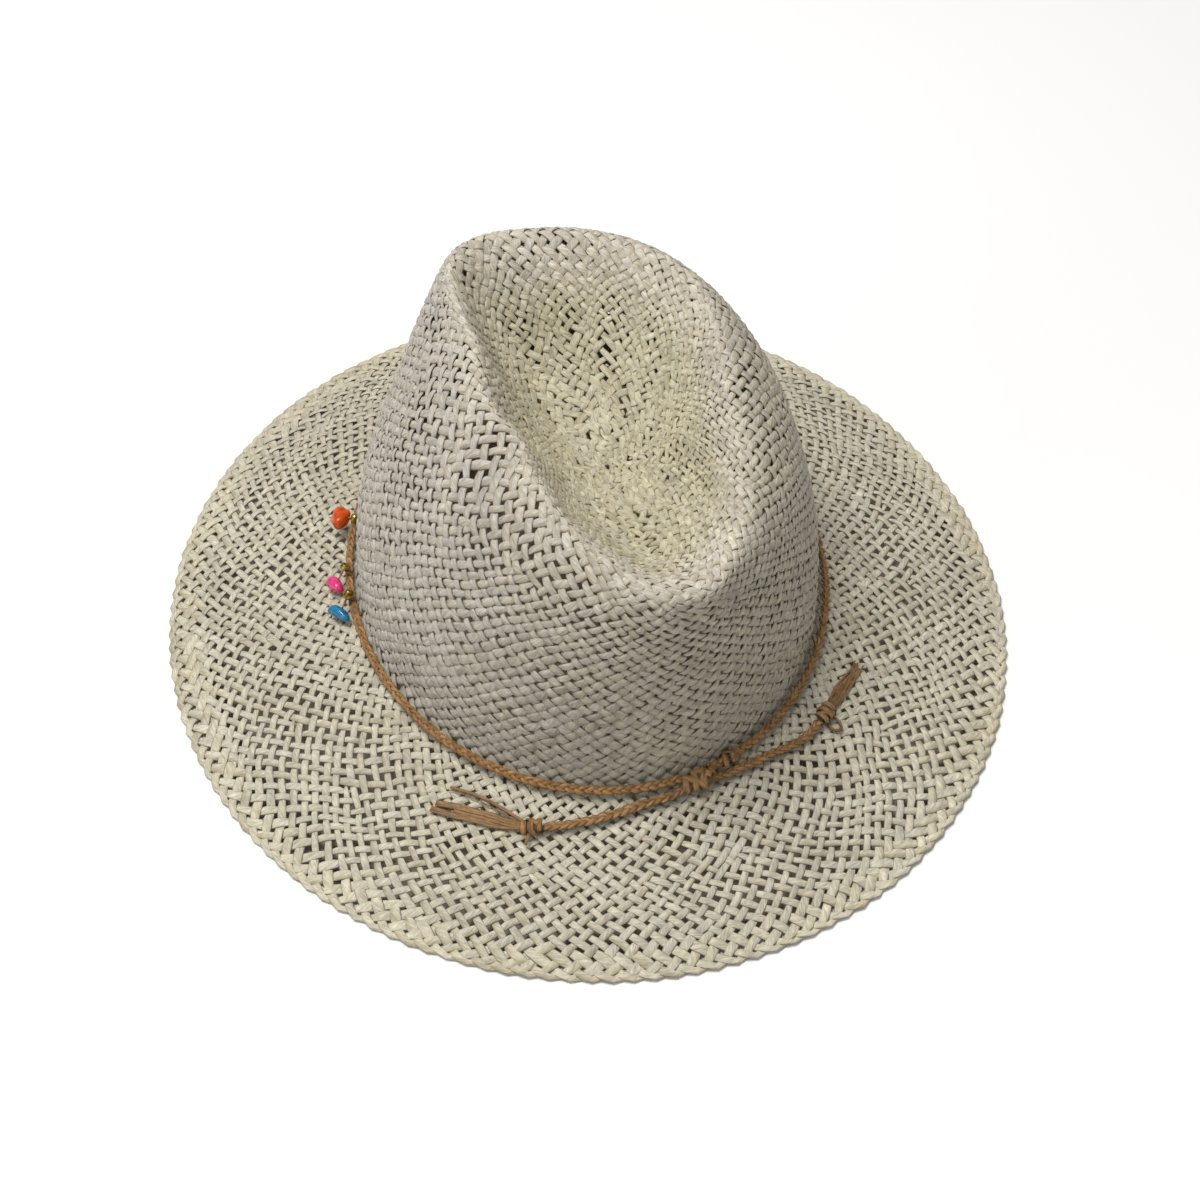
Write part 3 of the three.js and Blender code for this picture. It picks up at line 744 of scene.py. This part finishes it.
def strand_section(count, rng):
    """A folded paper strip: two soft lobes with a shallow groove that wanders."""
    steps = np.arange(count) * 1.0
    groove = wander(steps, 7.0, rng, 0.32)
    flip = rng.choice([-1, 1])
    section = np.broadcast_to(BASE_SECTION, (count, *BASE_SECTION.shape)).copy()
    section[:, GROOVE_POINT, 0] += groove
    section[:, GROOVE_POINT, 1] -= 0.2 + 0.16 * wander(steps, 5.0, rng)
    if flip < 0:
        section[:, :, 0] *= -1
        section = section[:, ::-1]
    return section


def rim_place(angle):
    """Number of the place at the rim where a strand turns back."""
    return math.floor(angle * COUNTS[-1] / TAU + 0.25) % COUNTS[-1]


PIECES = 5
OUT_SEED, BACK_SEED = 1000, 5000
# How far before the rim a strand leaves the skin, how far its turning point lies inside the rim,
# and how wide it is there
TURN_START, TURN_INSIDE, TURN_WIDTH = 1.1, 0.5, 0.95
GRAIN_STEP = 37.0


def weave():
    """Every strand runs out to the rim, turns there and runs back as one of the other direction."""
    at_rim = float(phi(S_END))
    returns = {rim_place(strand[1][-1] - at_rim): strand for strand in strand_bases(-1)}
    pieces = [Tubes() for _ in range(PIECES)]
    order = sorted(strand_bases(1), key=lambda strand: (strand[1][-1] % TAU))
    for index, strand in enumerate(order):
        rng = np.random.default_rng(OUT_SEED + index)
        s, layers = strand_layers(strand, 1, rng)
        mate = returns.pop(rim_place(strand[1][-1] + at_rim), None)
        if mate is not None:
            rng = np.random.default_rng(BACK_SEED + index)
            s_back, back = strand_layers(mate, -1, rng)
            keep, keep_back = s <= S_END - TURN_START, s_back <= S_END - TURN_START
            tip = skin_at(np.array([strand[1][-1] + at_rim]), np.array([S_END - TURN_INSIDE]))
            tip += layers[2][-1:] * TURN_WIDTH, layers[3][-1:], layers[4][-1:]
            layers = [np.concatenate([out[keep], turn, inwards[keep_back][::-1]])
                      for out, turn, inwards in zip(layers, tip, back)]
        centre, normal, width, thick, tint = layers
        tangent = unit(np.gradient(centre, axis=0))
        side = unit(np.cross(tangent, normal))
        up = unit(np.cross(side, tangent))
        tilt = wander(np.arange(len(centre)) * 1.0, 5.0, rng, 0.16)[:, None]
        side, up = side * np.cos(tilt) + up * np.sin(tilt), up * np.cos(tilt) - side * np.sin(tilt)
        section = strand_section(len(centre), rng)
        target = pieces[index * PIECES // len(order)]
        target.add(centre, side, up, section, width, thick, tint, index * GRAIN_STEP, STRAND_PAINTED_SHADE)
    return pieces


straw = fibre_material("straw", linear(200, 192, 172), roughness=0.75, fibres=9.0, depth=0.45,
                       contrast=0.42, twist=0.8)
for number, group in enumerate(weave(), 1):
    settle(group.mesh(f"straw_strands_{number}", straw), "straw_body")

# Raffia

RAFFIA = linear(141, 108, 70)
# Painted shade: the knots' cores are raffia darkened to stand for the shade between the wraps.
CORE_PAINTED_SHADE_TINT = RAFFIA * 0.55
raffia = fibre_material("raffia", RAFFIA, roughness=0.5, fibres=7.0, depth=0.35, contrast=0.65)
FLAT = np.array([(math.cos(a) * (1 + 0.07 * math.cos(5 * a)),
                  math.sin(a) * (1 + 0.1 * math.cos(4 * a))) for a in np.arange(10) * TAU / 10])
# Painted shade: the underside of every raffia strand is darkened, which also draws dark lines between the
# strands.
RAFFIA_PAINTED_SHADE = np.clip(0.74 + 0.42 * FLAT[:, 1:], 0.42, 1) * np.array([1, 0.97, 0.92])


def smooth_line(points, step):
    """Dense points on a smooth open curve through the given ones."""
    p = np.array(points)
    p = np.concatenate([[2 * p[0] - p[1]], p, [2 * p[-1] - p[-2]]])
    out = []
    for k in range(1, len(p) - 2):
        t = np.linspace(0, 1, 12, endpoint=False)[:, None]
        out.append(0.5 * (2 * p[k] + (p[k + 1] - p[k - 1]) * t
                          + (2 * p[k - 1] - 5 * p[k] + 4 * p[k + 1] - p[k + 2]) * t**2
                          + (3 * p[k] - p[k - 1] - 3 * p[k + 1] + p[k + 2]) * t**3))
    line = np.concatenate(out + [p[-2:-1]])
    length = lengths(line)
    count = max(4, int(length[-1] / step))
    want = np.linspace(0, length[-1], count + 1)
    return np.stack([np.interp(want, length, line[:, c]) for c in range(3)], axis=1)


def frames(line, up):
    """Directions across a line: to its side, and at a right angle to that, near up."""
    tangent = unit(np.gradient(line, axis=0))
    side = unit(np.cross(tangent, up))
    return side, unit(np.cross(side, tangent))


def raffia_tint(count, rng, spread=0.2):
    """A strand's own colour, with slow changes along it."""
    tone = 1 + rng.uniform(-spread, spread) + wander(np.arange(count) * 1.0, 14.0, rng, 0.08)
    warm = rng.uniform(-0.06, 0.06)
    return RAFFIA * tone[:, None] * np.array([1 + warm, 1, 1 - 2 * warm])


def plait(target, line, up, wide, high, period, strand, rng):
    """Three flat strands plaited along a line."""
    side, up = frames(line, up)
    s = lengths(line)
    angle = TAU * s / period
    for k in range(3):
        turn = angle + k * TAU / 3
        x = wide * np.sin(turn) + wander(s, 5.0, rng, 0.14)
        z = high * np.sin(2 * turn)
        centre = line + side * x[:, None] + up * z[:, None]
        own_side, own_up = frames(centre, up)
        width = strand[0] * (1 + wander(s, 4.0, rng, 0.2))
        height = strand[1] * (1 + wander(s, 4.0, rng, 0.15))
        target.add(centre, own_side, own_up, FLAT, width, height, raffia_tint(len(s), rng),
                   k * 100.0, RAFFIA_PAINTED_SHADE)


def middle_of(name):
    """Middle of a solid's box."""
    low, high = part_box(name)
    return (np.array(low) + np.array(high)) / 2 / MM


KNOT_SIZE, KNOT_TURN = (13.0, 8.2, 6.4), 184.5
KNOT = middle_of("band_knot")
KNOT_FORWARD = outwards(KNOT_TURN + 90)
BAND_POINTS = 72


def add_band():
    rng = np.random.default_rng(31)
    half = math.degrees((KNOT_SIZE[0] / 2 - 1.5) / math.hypot(KNOT[0], KNOT[1]))
    points = [corner_seat(KNOT_TURN + half + (360 - 2 * half) * k / BAND_POINTS, CORD / 2 + GAP)
              for k in range(BAND_POINTS + 1)]
    line = smooth_line(points, 0.8)
    outer = unit(line * np.array([1, 1, 0]))
    up = unit(outer * 0.75 + UP)
    target = Tubes()
    plait(target, line, up, 0.92, 0.62, 9.5, (1.5, 1.05), rng)
    return settle(target.mesh("cord_plait", raffia), "cord_band")


def wraps(target, centre, forward, size, turns, lean, rng, strand, from_angle, swell=1.0,
          reach=0.4):
    """Raffia wound round a knot's own direction."""
    side = unit(np.cross(UP, forward))
    a = np.linspace(0, TAU * turns, int(26 * turns) + 2)
    x = np.linspace(-reach, reach, len(a)) * size[0]
    round_off = np.sqrt(np.clip(1 - (x / (size[0] * 0.62)) ** 2, 0.1, 1)) * swell
    x = x + lean * np.cos(a + from_angle)
    across = (size[1] / 2 - strand[1] / 2) * round_off
    above = (size[2] / 2 - strand[1] / 2) * round_off
    line = (centre + forward * x[:, None] + side * (np.cos(a + from_angle) * across)[:, None]
            + UP * (np.sin(a + from_angle) * above)[:, None])
    outside = unit(side * (np.cos(a + from_angle) / across)[:, None]
                   + UP * (np.sin(a + from_angle) / above)[:, None])
    own_side, own_up = frames(line, outside)
    width = strand[0] * (1 + wander(a, 1.3, rng, 0.12))
    target.add(line, own_side, own_up, FLAT, width, strand[1], raffia_tint(len(a), rng, 0.18),
               shade=RAFFIA_PAINTED_SHADE)


def core(target, centre, forward, size):
    """A rounded body of raffia, darkened as painted shade, that closes the gaps between a knot's wraps.
    """
    side = unit(np.cross(UP, forward))
    lean = np.linspace(-1.45, 1.45, 12)
    line = centre + forward * (np.sin(lean) * size[0] / 2)[:, None]
    n = len(line)
    ring = np.array([(math.cos(a), math.sin(a)) for a in np.arange(14) * TAU / 14])
    target.add(line, np.broadcast_to(side, (n, 3)), np.broadcast_to(UP, (n, 3)), ring,
               np.cos(lean) * size[1], np.cos(lean) * size[2], CORE_PAINTED_SHADE_TINT)


# The tails' ways over the brim: turn, and how far out from the crown
LEFT_TAIL = [(178.2, 7.6), (176.2, 7.8), (172.4, 9.0), (168.6, 10.9), (164.8, 13.0), (161.0, 15.2),
             (157.2, 17.2)]
RIGHT_TAIL = [(191.0, 7.6), (193.2, 8.0), (197.2, 9.3), (201.3, 11.2), (205.2, 13.6),
              (208.8, 15.0), (211.9, 15.2)]


def tail_plait(target, line, rng):
    plait(target, line, np.broadcast_to(UP, line.shape), 1.0, 0.45, 9.0, (1.6, 1.05), rng)


def add_band_knot():
    rng = np.random.default_rng(8)
    target = Tubes()
    core(target, KNOT, KNOT_FORWARD, (11, 6.2, 4.6))
    wraps(target, KNOT, KNOT_FORWARD, KNOT_SIZE, 3.2, 1.3, rng, (2.4, 1.3), 0.4)
    wraps(target, KNOT, KNOT_FORWARD, KNOT_SIZE, 1.1, -3.0, rng, (2.6, 1.3), 1.2, 1.02, 0.3)
    wraps(target, KNOT, KNOT_FORWARD, KNOT_SIZE, 0.9, 3.4, rng, (2.0, 1.2), 3.9, 1.04, 0.34)
    # Each tail comes out of the knot.
    for route in (LEFT_TAIL, RIGHT_TAIL):
        first, second = (brim_point(turn, out, TAIL_CORD / 2 + GAP) for turn, out in route[:2])
        inward = first + (first - second) / np.linalg.norm(first - second) * 2.0
        halfway = (KNOT + inward) / 2 + np.array([0, 0.5, 0.3])
        tail_plait(target, smooth_line([KNOT + (first - KNOT) * 0.05, halfway, inward,
                                        first + (second - first) * 0.1], 0.6), rng)
    # A smaller knot lies on the band beside it.
    beside = corner_seat(KNOT_TURN + 7.5, CORD / 2 + GAP) + np.array([0, 0.3, 0.4])
    along = unit(corner_seat(KNOT_TURN + 10, CORD / 2) - corner_seat(KNOT_TURN + 5, CORD / 2))
    wraps(target, beside, along, (6.5, 5.6, 5.0), 1.6, 1.4, rng, (1.9, 1.0), 0.8)
    wraps(target, beside, along, (6.5, 5.8, 5.2), 0.9, -2.4, rng, (1.7, 0.9), 2.2, 1.03, 0.2)
    return settle(target.mesh("band_knot_wraps", raffia), "band_knot")


END_KNOT = (8.0, 6.4, 5.2)
RIBBON = np.array([(-1, -0.2), (-0.7, 0.9), (-0.12, 0.35), (0.1, 0.4), (0.7, 1), (1, 0), (0.6, -0.9),
                   (-0.6, -0.9)])
# The left tail's flat ends: direction off the tail's own in degrees, length, bow and width
LEFT_STRIPS = [(-20, 36, 1.2, 1.1), (-24, 35, -0.6, 1.1), (-22, 28, 0.5, 0.6), (-35, 33, -2, 0.45),
               (66, 6, 0, 0.5)]
# How far out a loose end has come down to the brim
DROOP = 8.0


def level(heading):
    return np.array([math.cos(heading), math.sin(heading), 0.0])


def strand_over_brim(target, start, heading, length, bow, width, thick, rng, taper=0.3):
    """A loose end that comes out of an end knot and lies down on the brim."""
    direction = level(heading)
    side = np.array([-direction[1], direction[0], 0.0])
    count = max(8, int(length / 1.6))
    share = np.linspace(0, 1, count)
    line = (start + direction * (share * length)[:, None]
            + side * (bow * np.sin(math.pi * share) + wander(share * length, 7.0, rng, 0.25))[:, None])
    for k in range(count):
        bed = brim_seat(line[k, 0], line[k, 1], thick / 2 + GAP)[2]
        mix = min(1, share[k] * length / DROOP)
        line[k, 2] = start[2] * (1 - mix) + bed * mix
    line[:, 2] += np.abs(wander(share * length, 6.0, rng, 0.3)) * soft(share * 3)
    own_side, own_up = frames(line, np.broadcast_to(UP, line.shape))
    target.add(line, own_side, own_up, RIBBON, width * (1 - taper * share), thick,
               raffia_tint(count, rng, 0.16))


def left_ends(tuft, centre, heading, rng):
    """Flat strips that lie together, and a few thin fibres."""
    for aim, length, bow, width in LEFT_STRIPS:
        strand_over_brim(tuft, centre, heading + math.radians(aim), length, bow, width * 2.4, 0.8,
                         rng, taper=0.05)
    for _ in range(5):
        strand_over_brim(tuft, centre, heading + math.radians(rng.uniform(-34, -14)),
                         rng.uniform(14, 33), rng.uniform(-1.5, 1.5), 0.5, 0.4, rng)


def right_ends(tuft, centre, heading, rng):
    """A small open loop beside the knot, and a frayed brush of thin fibres."""
    around = np.linspace(-0.3, 1.75 * math.pi, 22)
    forward, aside = level(heading), level(heading - math.radians(95))
    loop = [centre + aside * (4.2 - 3.0 * math.cos(a)) + forward * 2.2 * math.sin(a) for a in around]
    loop = np.array([brim_seat(p[0], p[1], 0.8 + GAP) for p in loop])
    own_side, own_up = frames(loop, np.broadcast_to(UP, loop.shape))
    tuft.add(loop, own_side, own_up, FLAT, 1.1, 0.9, raffia_tint(len(loop), rng), 0.0, RAFFIA_PAINTED_SHADE)
    for _ in range(26):
        strand_over_brim(tuft, centre, heading + math.radians(rng.uniform(1, 9)),
                         rng.uniform(14, 30), rng.uniform(-1.6, 1.6), rng.uniform(0.45, 1.0),
                         0.45, rng)


def add_tail(name, route, loose_ends, seed):
    rng = np.random.default_rng(seed)
    points = [brim_point(turn, out, TAIL_CORD / 2 + GAP) for turn, out in route]
    line = smooth_line(points, 0.7)
    target = Tubes()
    tail_plait(target, line, rng)
    tail = settle(target.mesh(f"tail_{name}_plait", raffia), f"tail_{name}")
    forward = (points[-1] - points[-2]) * np.array([1, 1, 0])
    forward = forward / np.linalg.norm(forward)
    plan = points[-1] + forward * (END_KNOT[0] / 2 + GAP)
    centre = brim_seat(plan[0], plan[1], END_KNOT[2] / 2 + GAP)
    tuft = Tubes()
    core(tuft, centre, forward, (6.8, 4.6, 3.6))
    wraps(tuft, centre, forward, END_KNOT, 2.4, 0.7, rng, (1.9, 1.0), 0.3)
    wraps(tuft, centre, forward, END_KNOT, 0.9, -2.0, rng, (1.8, 1.0), 1.4, 1.03, 0.25)
    loose_ends(tuft, centre, math.atan2(forward[1], forward[0]), rng)
    tassel = settle(tuft.mesh(f"tassel_{name}_strips", raffia), f"tassel_{name}")


add_tail("left", LEFT_TAIL, left_ends, 44)
add_tail("right", RIGHT_TAIL, right_ends, 45)
add_band()
add_band_knot()

# Charms


def stone_material(name, colour, dark, roughness=0.16, coat=0.6):
    """Polished stone with dark veins."""
    material, tree, shader = new_material(name)
    place = node(tree, "ShaderNodeNewGeometry", {})
    veins = node(tree, "ShaderNodeTexNoise", {
        "Vector": place.outputs["Position"], "Scale": 420.0, "Detail": 5.0, "Roughness": 0.6,
        "Distortion": 0.8,
    })
    shown = colour_ramp(tree, veins.outputs["Fac"], (0.32, dark), (0.58, colour))
    tree.links.new(shown, shader.inputs["Base Color"])
    shader.inputs["Roughness"].default_value = roughness
    shader.inputs["Coat Weight"].default_value = coat
    shader.inputs["Specular IOR Level"].default_value = 0.3
    shader.inputs["Coat Roughness"].default_value = 0.08
    bump = node(tree, "ShaderNodeBump", {
        "Height": veins.outputs["Fac"], "Strength": 0.4, "Distance": 0.15 * MM,
    })
    tree.links.new(bump.outputs[0], shader.inputs["Normal"])
    material.diffuse_color = (*colour, 1)
    return material


def brass_material():
    material, tree, shader = new_material("aged_brass")
    place = node(tree, "ShaderNodeNewGeometry", {})
    wear = node(tree, "ShaderNodeTexNoise", {
        "Vector": place.outputs["Position"], "Scale": 600.0, "Detail": 4.0,
    })
    shown = colour_ramp(tree, wear.outputs["Fac"], (0.35, linear(84, 62, 24)),
                        (0.62, linear(186, 156, 82)))
    tree.links.new(shown, shader.inputs["Base Color"])
    shader.inputs["Metallic"].default_value = 1.0
    rough = node(tree, "ShaderNodeMapRange", {
        "Value": wear.outputs["Fac"], "To Min": 0.42, "To Max": 0.2,
    })
    tree.links.new(rough.outputs[0], shader.inputs["Roughness"])
    material.diffuse_color = (*linear(190, 160, 90), 1)
    return material


brass = brass_material()
STONES = {
    "orange": stone_material("orange_stone", linear(208, 84, 4), linear(150, 44, 2), 0.36, 0.25),
    "pink": stone_material("pink_stone", linear(224, 64, 126), linear(180, 32, 92)),
    "blue": stone_material("blue_stone", linear(22, 120, 160), linear(10, 78, 116)),
}
# The charms: place, stone, the stone's size, and the brass bead's length and width
CHARMS = [
    ("front", "orange", (6.6, 10, 6), (2.4, 3.4)),
    ("middle", "pink", (4.8, 9, 4.6), (2.6, 4)),
    ("rear", "blue", (4.2, 9.6, 4.2), (3.8, 4)),
]


def round_body(name, centre, forward, size, material, shape, cad_node, rings=28, sides=36):
    """A closed body with its poles along forward; shape bends and swells its surface."""
    side = unit(np.cross(UP, forward))
    up = unit(np.cross(forward, side))
    lean = np.linspace(-math.pi / 2, math.pi / 2, rings)
    ring = np.arange(sides) * TAU / sides
    lean_grid, ring_grid = np.meshgrid(lean, ring, indexing="ij")
    d = np.stack([np.sin(lean_grid), np.cos(lean_grid) * np.cos(ring_grid),
                  np.cos(lean_grid) * np.sin(ring_grid)], axis=-1)
    local = shape(d) * np.array(size) / 2
    points = (centre + local[..., :1] * forward + local[..., 1:2] * side + local[..., 2:] * up)
    points = points.reshape(-1, 3) * MM
    faces = []
    for i in range(rings - 1):
        for j in range(sides):
            a, b = i * sides + j, i * sides + (j + 1) % sides
            faces.append((a, a + sides, b + sides, b))
    data = bpy.data.meshes.new(name)
    data.from_pydata(points.tolist(), [], faces)
    data.validate()
    work = bmesh.new()
    work.from_mesh(data)
    bmesh.ops.remove_doubles(work, verts=work.verts, dist=1e-6)
    bmesh.ops.recalc_face_normals(work, faces=work.faces)
    work.to_mesh(data)
    work.free()
    data.shade_smooth()
    data.materials.append(material)
    return settle(add_object(name, data), cad_node)


def lumps(d, waves, amount):
    """How much each direction swells, from a few broad waves."""
    value = np.ones(d.shape[:-1])
    for k, (direction, phase) in enumerate(waves):
        value = value + amount / (1 + 0.4 * k) * np.sin(d @ np.array(direction) + phase)
    return value


def nugget(d):
    waves = [((3.1, 1.2, 0.6), 0.4), ((-1.4, 4.2, 1.9), 1.8), ((2.2, -3.8, 4.6), 0.9)]
    body = np.sign(d) * np.abs(d) ** 0.86
    return body * lumps(d, waves, 0.07)[..., None]


def pebble(d):
    waves = [((2.2, 1.0, 1.6), 0.2), ((1.4, 3.2, -1.9), 2.1)]
    body = np.sign(d) * np.abs(d) ** 0.92
    body = body * lumps(d, waves, 0.05)[..., None]
    body[..., 0] *= 1 - 0.18 * body[..., 1]
    return body


def wedge(d):
    waves = [((2.8, 1.0, 1.6), 1.2), ((1.4, 3.9, -1.9), 0.4)]
    body = np.sign(d) * np.abs(d) ** 0.8
    body = body * lumps(d, waves, 0.05)[..., None]
    body[..., 0] = body[..., 0] * (1 - 0.3 * body[..., 1]) + 0.35 * (body[..., 1] ** 2 - 0.4)
    return body


def barrel(d):
    body = d.copy()
    body[..., 1:] = unit(d[..., 1:]) * (np.clip(1 - d[..., :1] ** 8, 0, 1) ** 0.5)
    body[..., 1:] *= 0.86 + 0.14 * np.cos(d[..., :1] * 1.5)
    return body


THREAD_POINTS, THREAD_TURN, THREAD_OFF, THREAD = 24, 14, 0.17, 0.44


def add_charms():
    """Each stone hangs on a thread of two strands that goes through its brass bead."""
    shapes = {"orange": nugget, "pink": pebble, "blue": wedge}
    for place, colour, size, brass_size in CHARMS:
        stone_middle = middle_of(f"bead_{colour}")
        brass_middle = middle_of(f"bead_brass_{place}")
        forward = unit(stone_middle - brass_middle)
        round_body(f"stone_{colour}", stone_middle, forward, size, STONES[colour], shapes[colour],
                   f"bead_{colour}")
        long, wide = brass_size
        round_body(f"brass_{place}", brass_middle, forward, (long, wide, wide), brass, barrel,
                   f"bead_brass_{place}")
        target = Tubes()
        start = brass_middle - forward * (long / 2 + 0.6)
        end = stone_middle + forward * (size[0] / 2 + 1.2)
        line = start + (end - start) * np.linspace(0, 1, THREAD_POINTS)[:, None]
        turn_angle = np.linspace(0, THREAD_TURN, THREAD_POINTS)
        side = unit(np.cross(UP, forward))
        up = np.cross(forward, side)
        for phase in (0, math.pi):
            wind = (side * np.cos(turn_angle + phase)[:, None]
                    + up * np.sin(turn_angle + phase)[:, None]) * THREAD_OFF
            own_side, own_up = frames(line + wind, np.broadcast_to(up, line.shape))
            target.add(line + wind, own_side, own_up, FLAT, THREAD, THREAD, linear(150, 112, 70))
        settle(target.mesh(f"thread_{place}", raffia), f"charm_thread_{place}")


add_charms()

# Floor and light


# Half the floor's side, and how far it lies below the rim, in metres
FLOOR_HALF, FLOOR_DROP = 4, 0.0004
# Floor colours: painted shadow under the brim, a painted warm shade under the crown, and white beyond.
PAINTED_SHADOW, PAINTED_WARM_SHADE, WHITE = (0.48, 0.42, 0.33), (1, 0.84, 0.64), (1, 1, 1)


def add_floor():
    data = bpy.data.meshes.new("floor")
    corners = [(-1, -1), (1, -1), (1, 1), (-1, 1)]
    data.from_pydata([(x * FLOOR_HALF, y * FLOOR_HALF, -FLOOR_DROP) for x, y in corners], [],
                     [(0, 1, 2, 3)])
    material, tree, shader = new_material("pale_floor")
    place = node(tree, "ShaderNodeNewGeometry", {})
    noise = node(tree, "ShaderNodeTexNoise", {
        "Vector": place.outputs["Position"], "Scale": 3.0, "Detail": 2.0,
    })
    tone = node(tree, "ShaderNodeMapRange", {
        "Value": noise.outputs["Fac"], "To Min": 0.88, "To Max": 0.92,
    })
    # Painted shadow: under the brim the floor is painted dark, so that the gaps of the weave look dark.
    # Under the crown, where little light comes in, it is painted a warm pale shade, so that they look
    # brown and not black.
    # The distance from the middle is 1 at the rim.
    spot = combine(tree, "MULTIPLY", place.outputs["Position"],
                  (2 / BRIM[1] / MM, 2 / BRIM[0] / MM, 0), kind="ShaderNodeVectorMath")
    away = node(tree, "ShaderNodeVectorMath", {0: spot}, operation="LENGTH")
    under = colour_ramp(tree, away.outputs["Value"], (0.52, PAINTED_WARM_SHADE), (0.62, PAINTED_SHADOW), (0.93, PAINTED_SHADOW),
                        (0.985, WHITE))
    shown = combine(tree, "MULTIPLY", tone.outputs[0], under, kind="ShaderNodeVectorMath")
    tree.links.new(shown, shader.inputs["Base Color"])
    shader.inputs["Roughness"].default_value = 0.9
    data.materials.append(material)
    add_object("floor", data)


def add_light(name, place, size, power, colour):
    """A round soft light that shines at the hat's middle."""
    data = bpy.data.lights.new(name, "AREA")
    data.shape = "DISK"
    data.size = size
    data.energy = power
    data.color = colour
    lamp = add_object(name, data)
    lamp.location = place
    lamp.rotation_mode = "QUATERNION"
    lamp.rotation_quaternion = Vector(place).to_track_quat("Z", "Y")


add_floor()
add_light("key", (0.45, -0.15, 1.8), 0.9, 30, (1.0, 0.985, 0.96))
add_light("side", (1.5, 0.6, 0.7), 0.9, 3, (0.98, 0.99, 1.0))
world = bpy.data.worlds.new("studio")
world.use_nodes = True
sky = world.node_tree.nodes["Background"].inputs
sky["Color"].default_value, sky["Strength"].default_value = (1, 1, 1, 1), 0.4
bpy.context.scene.world = world
bpy.context.scene.view_settings.view_transform = "Standard"
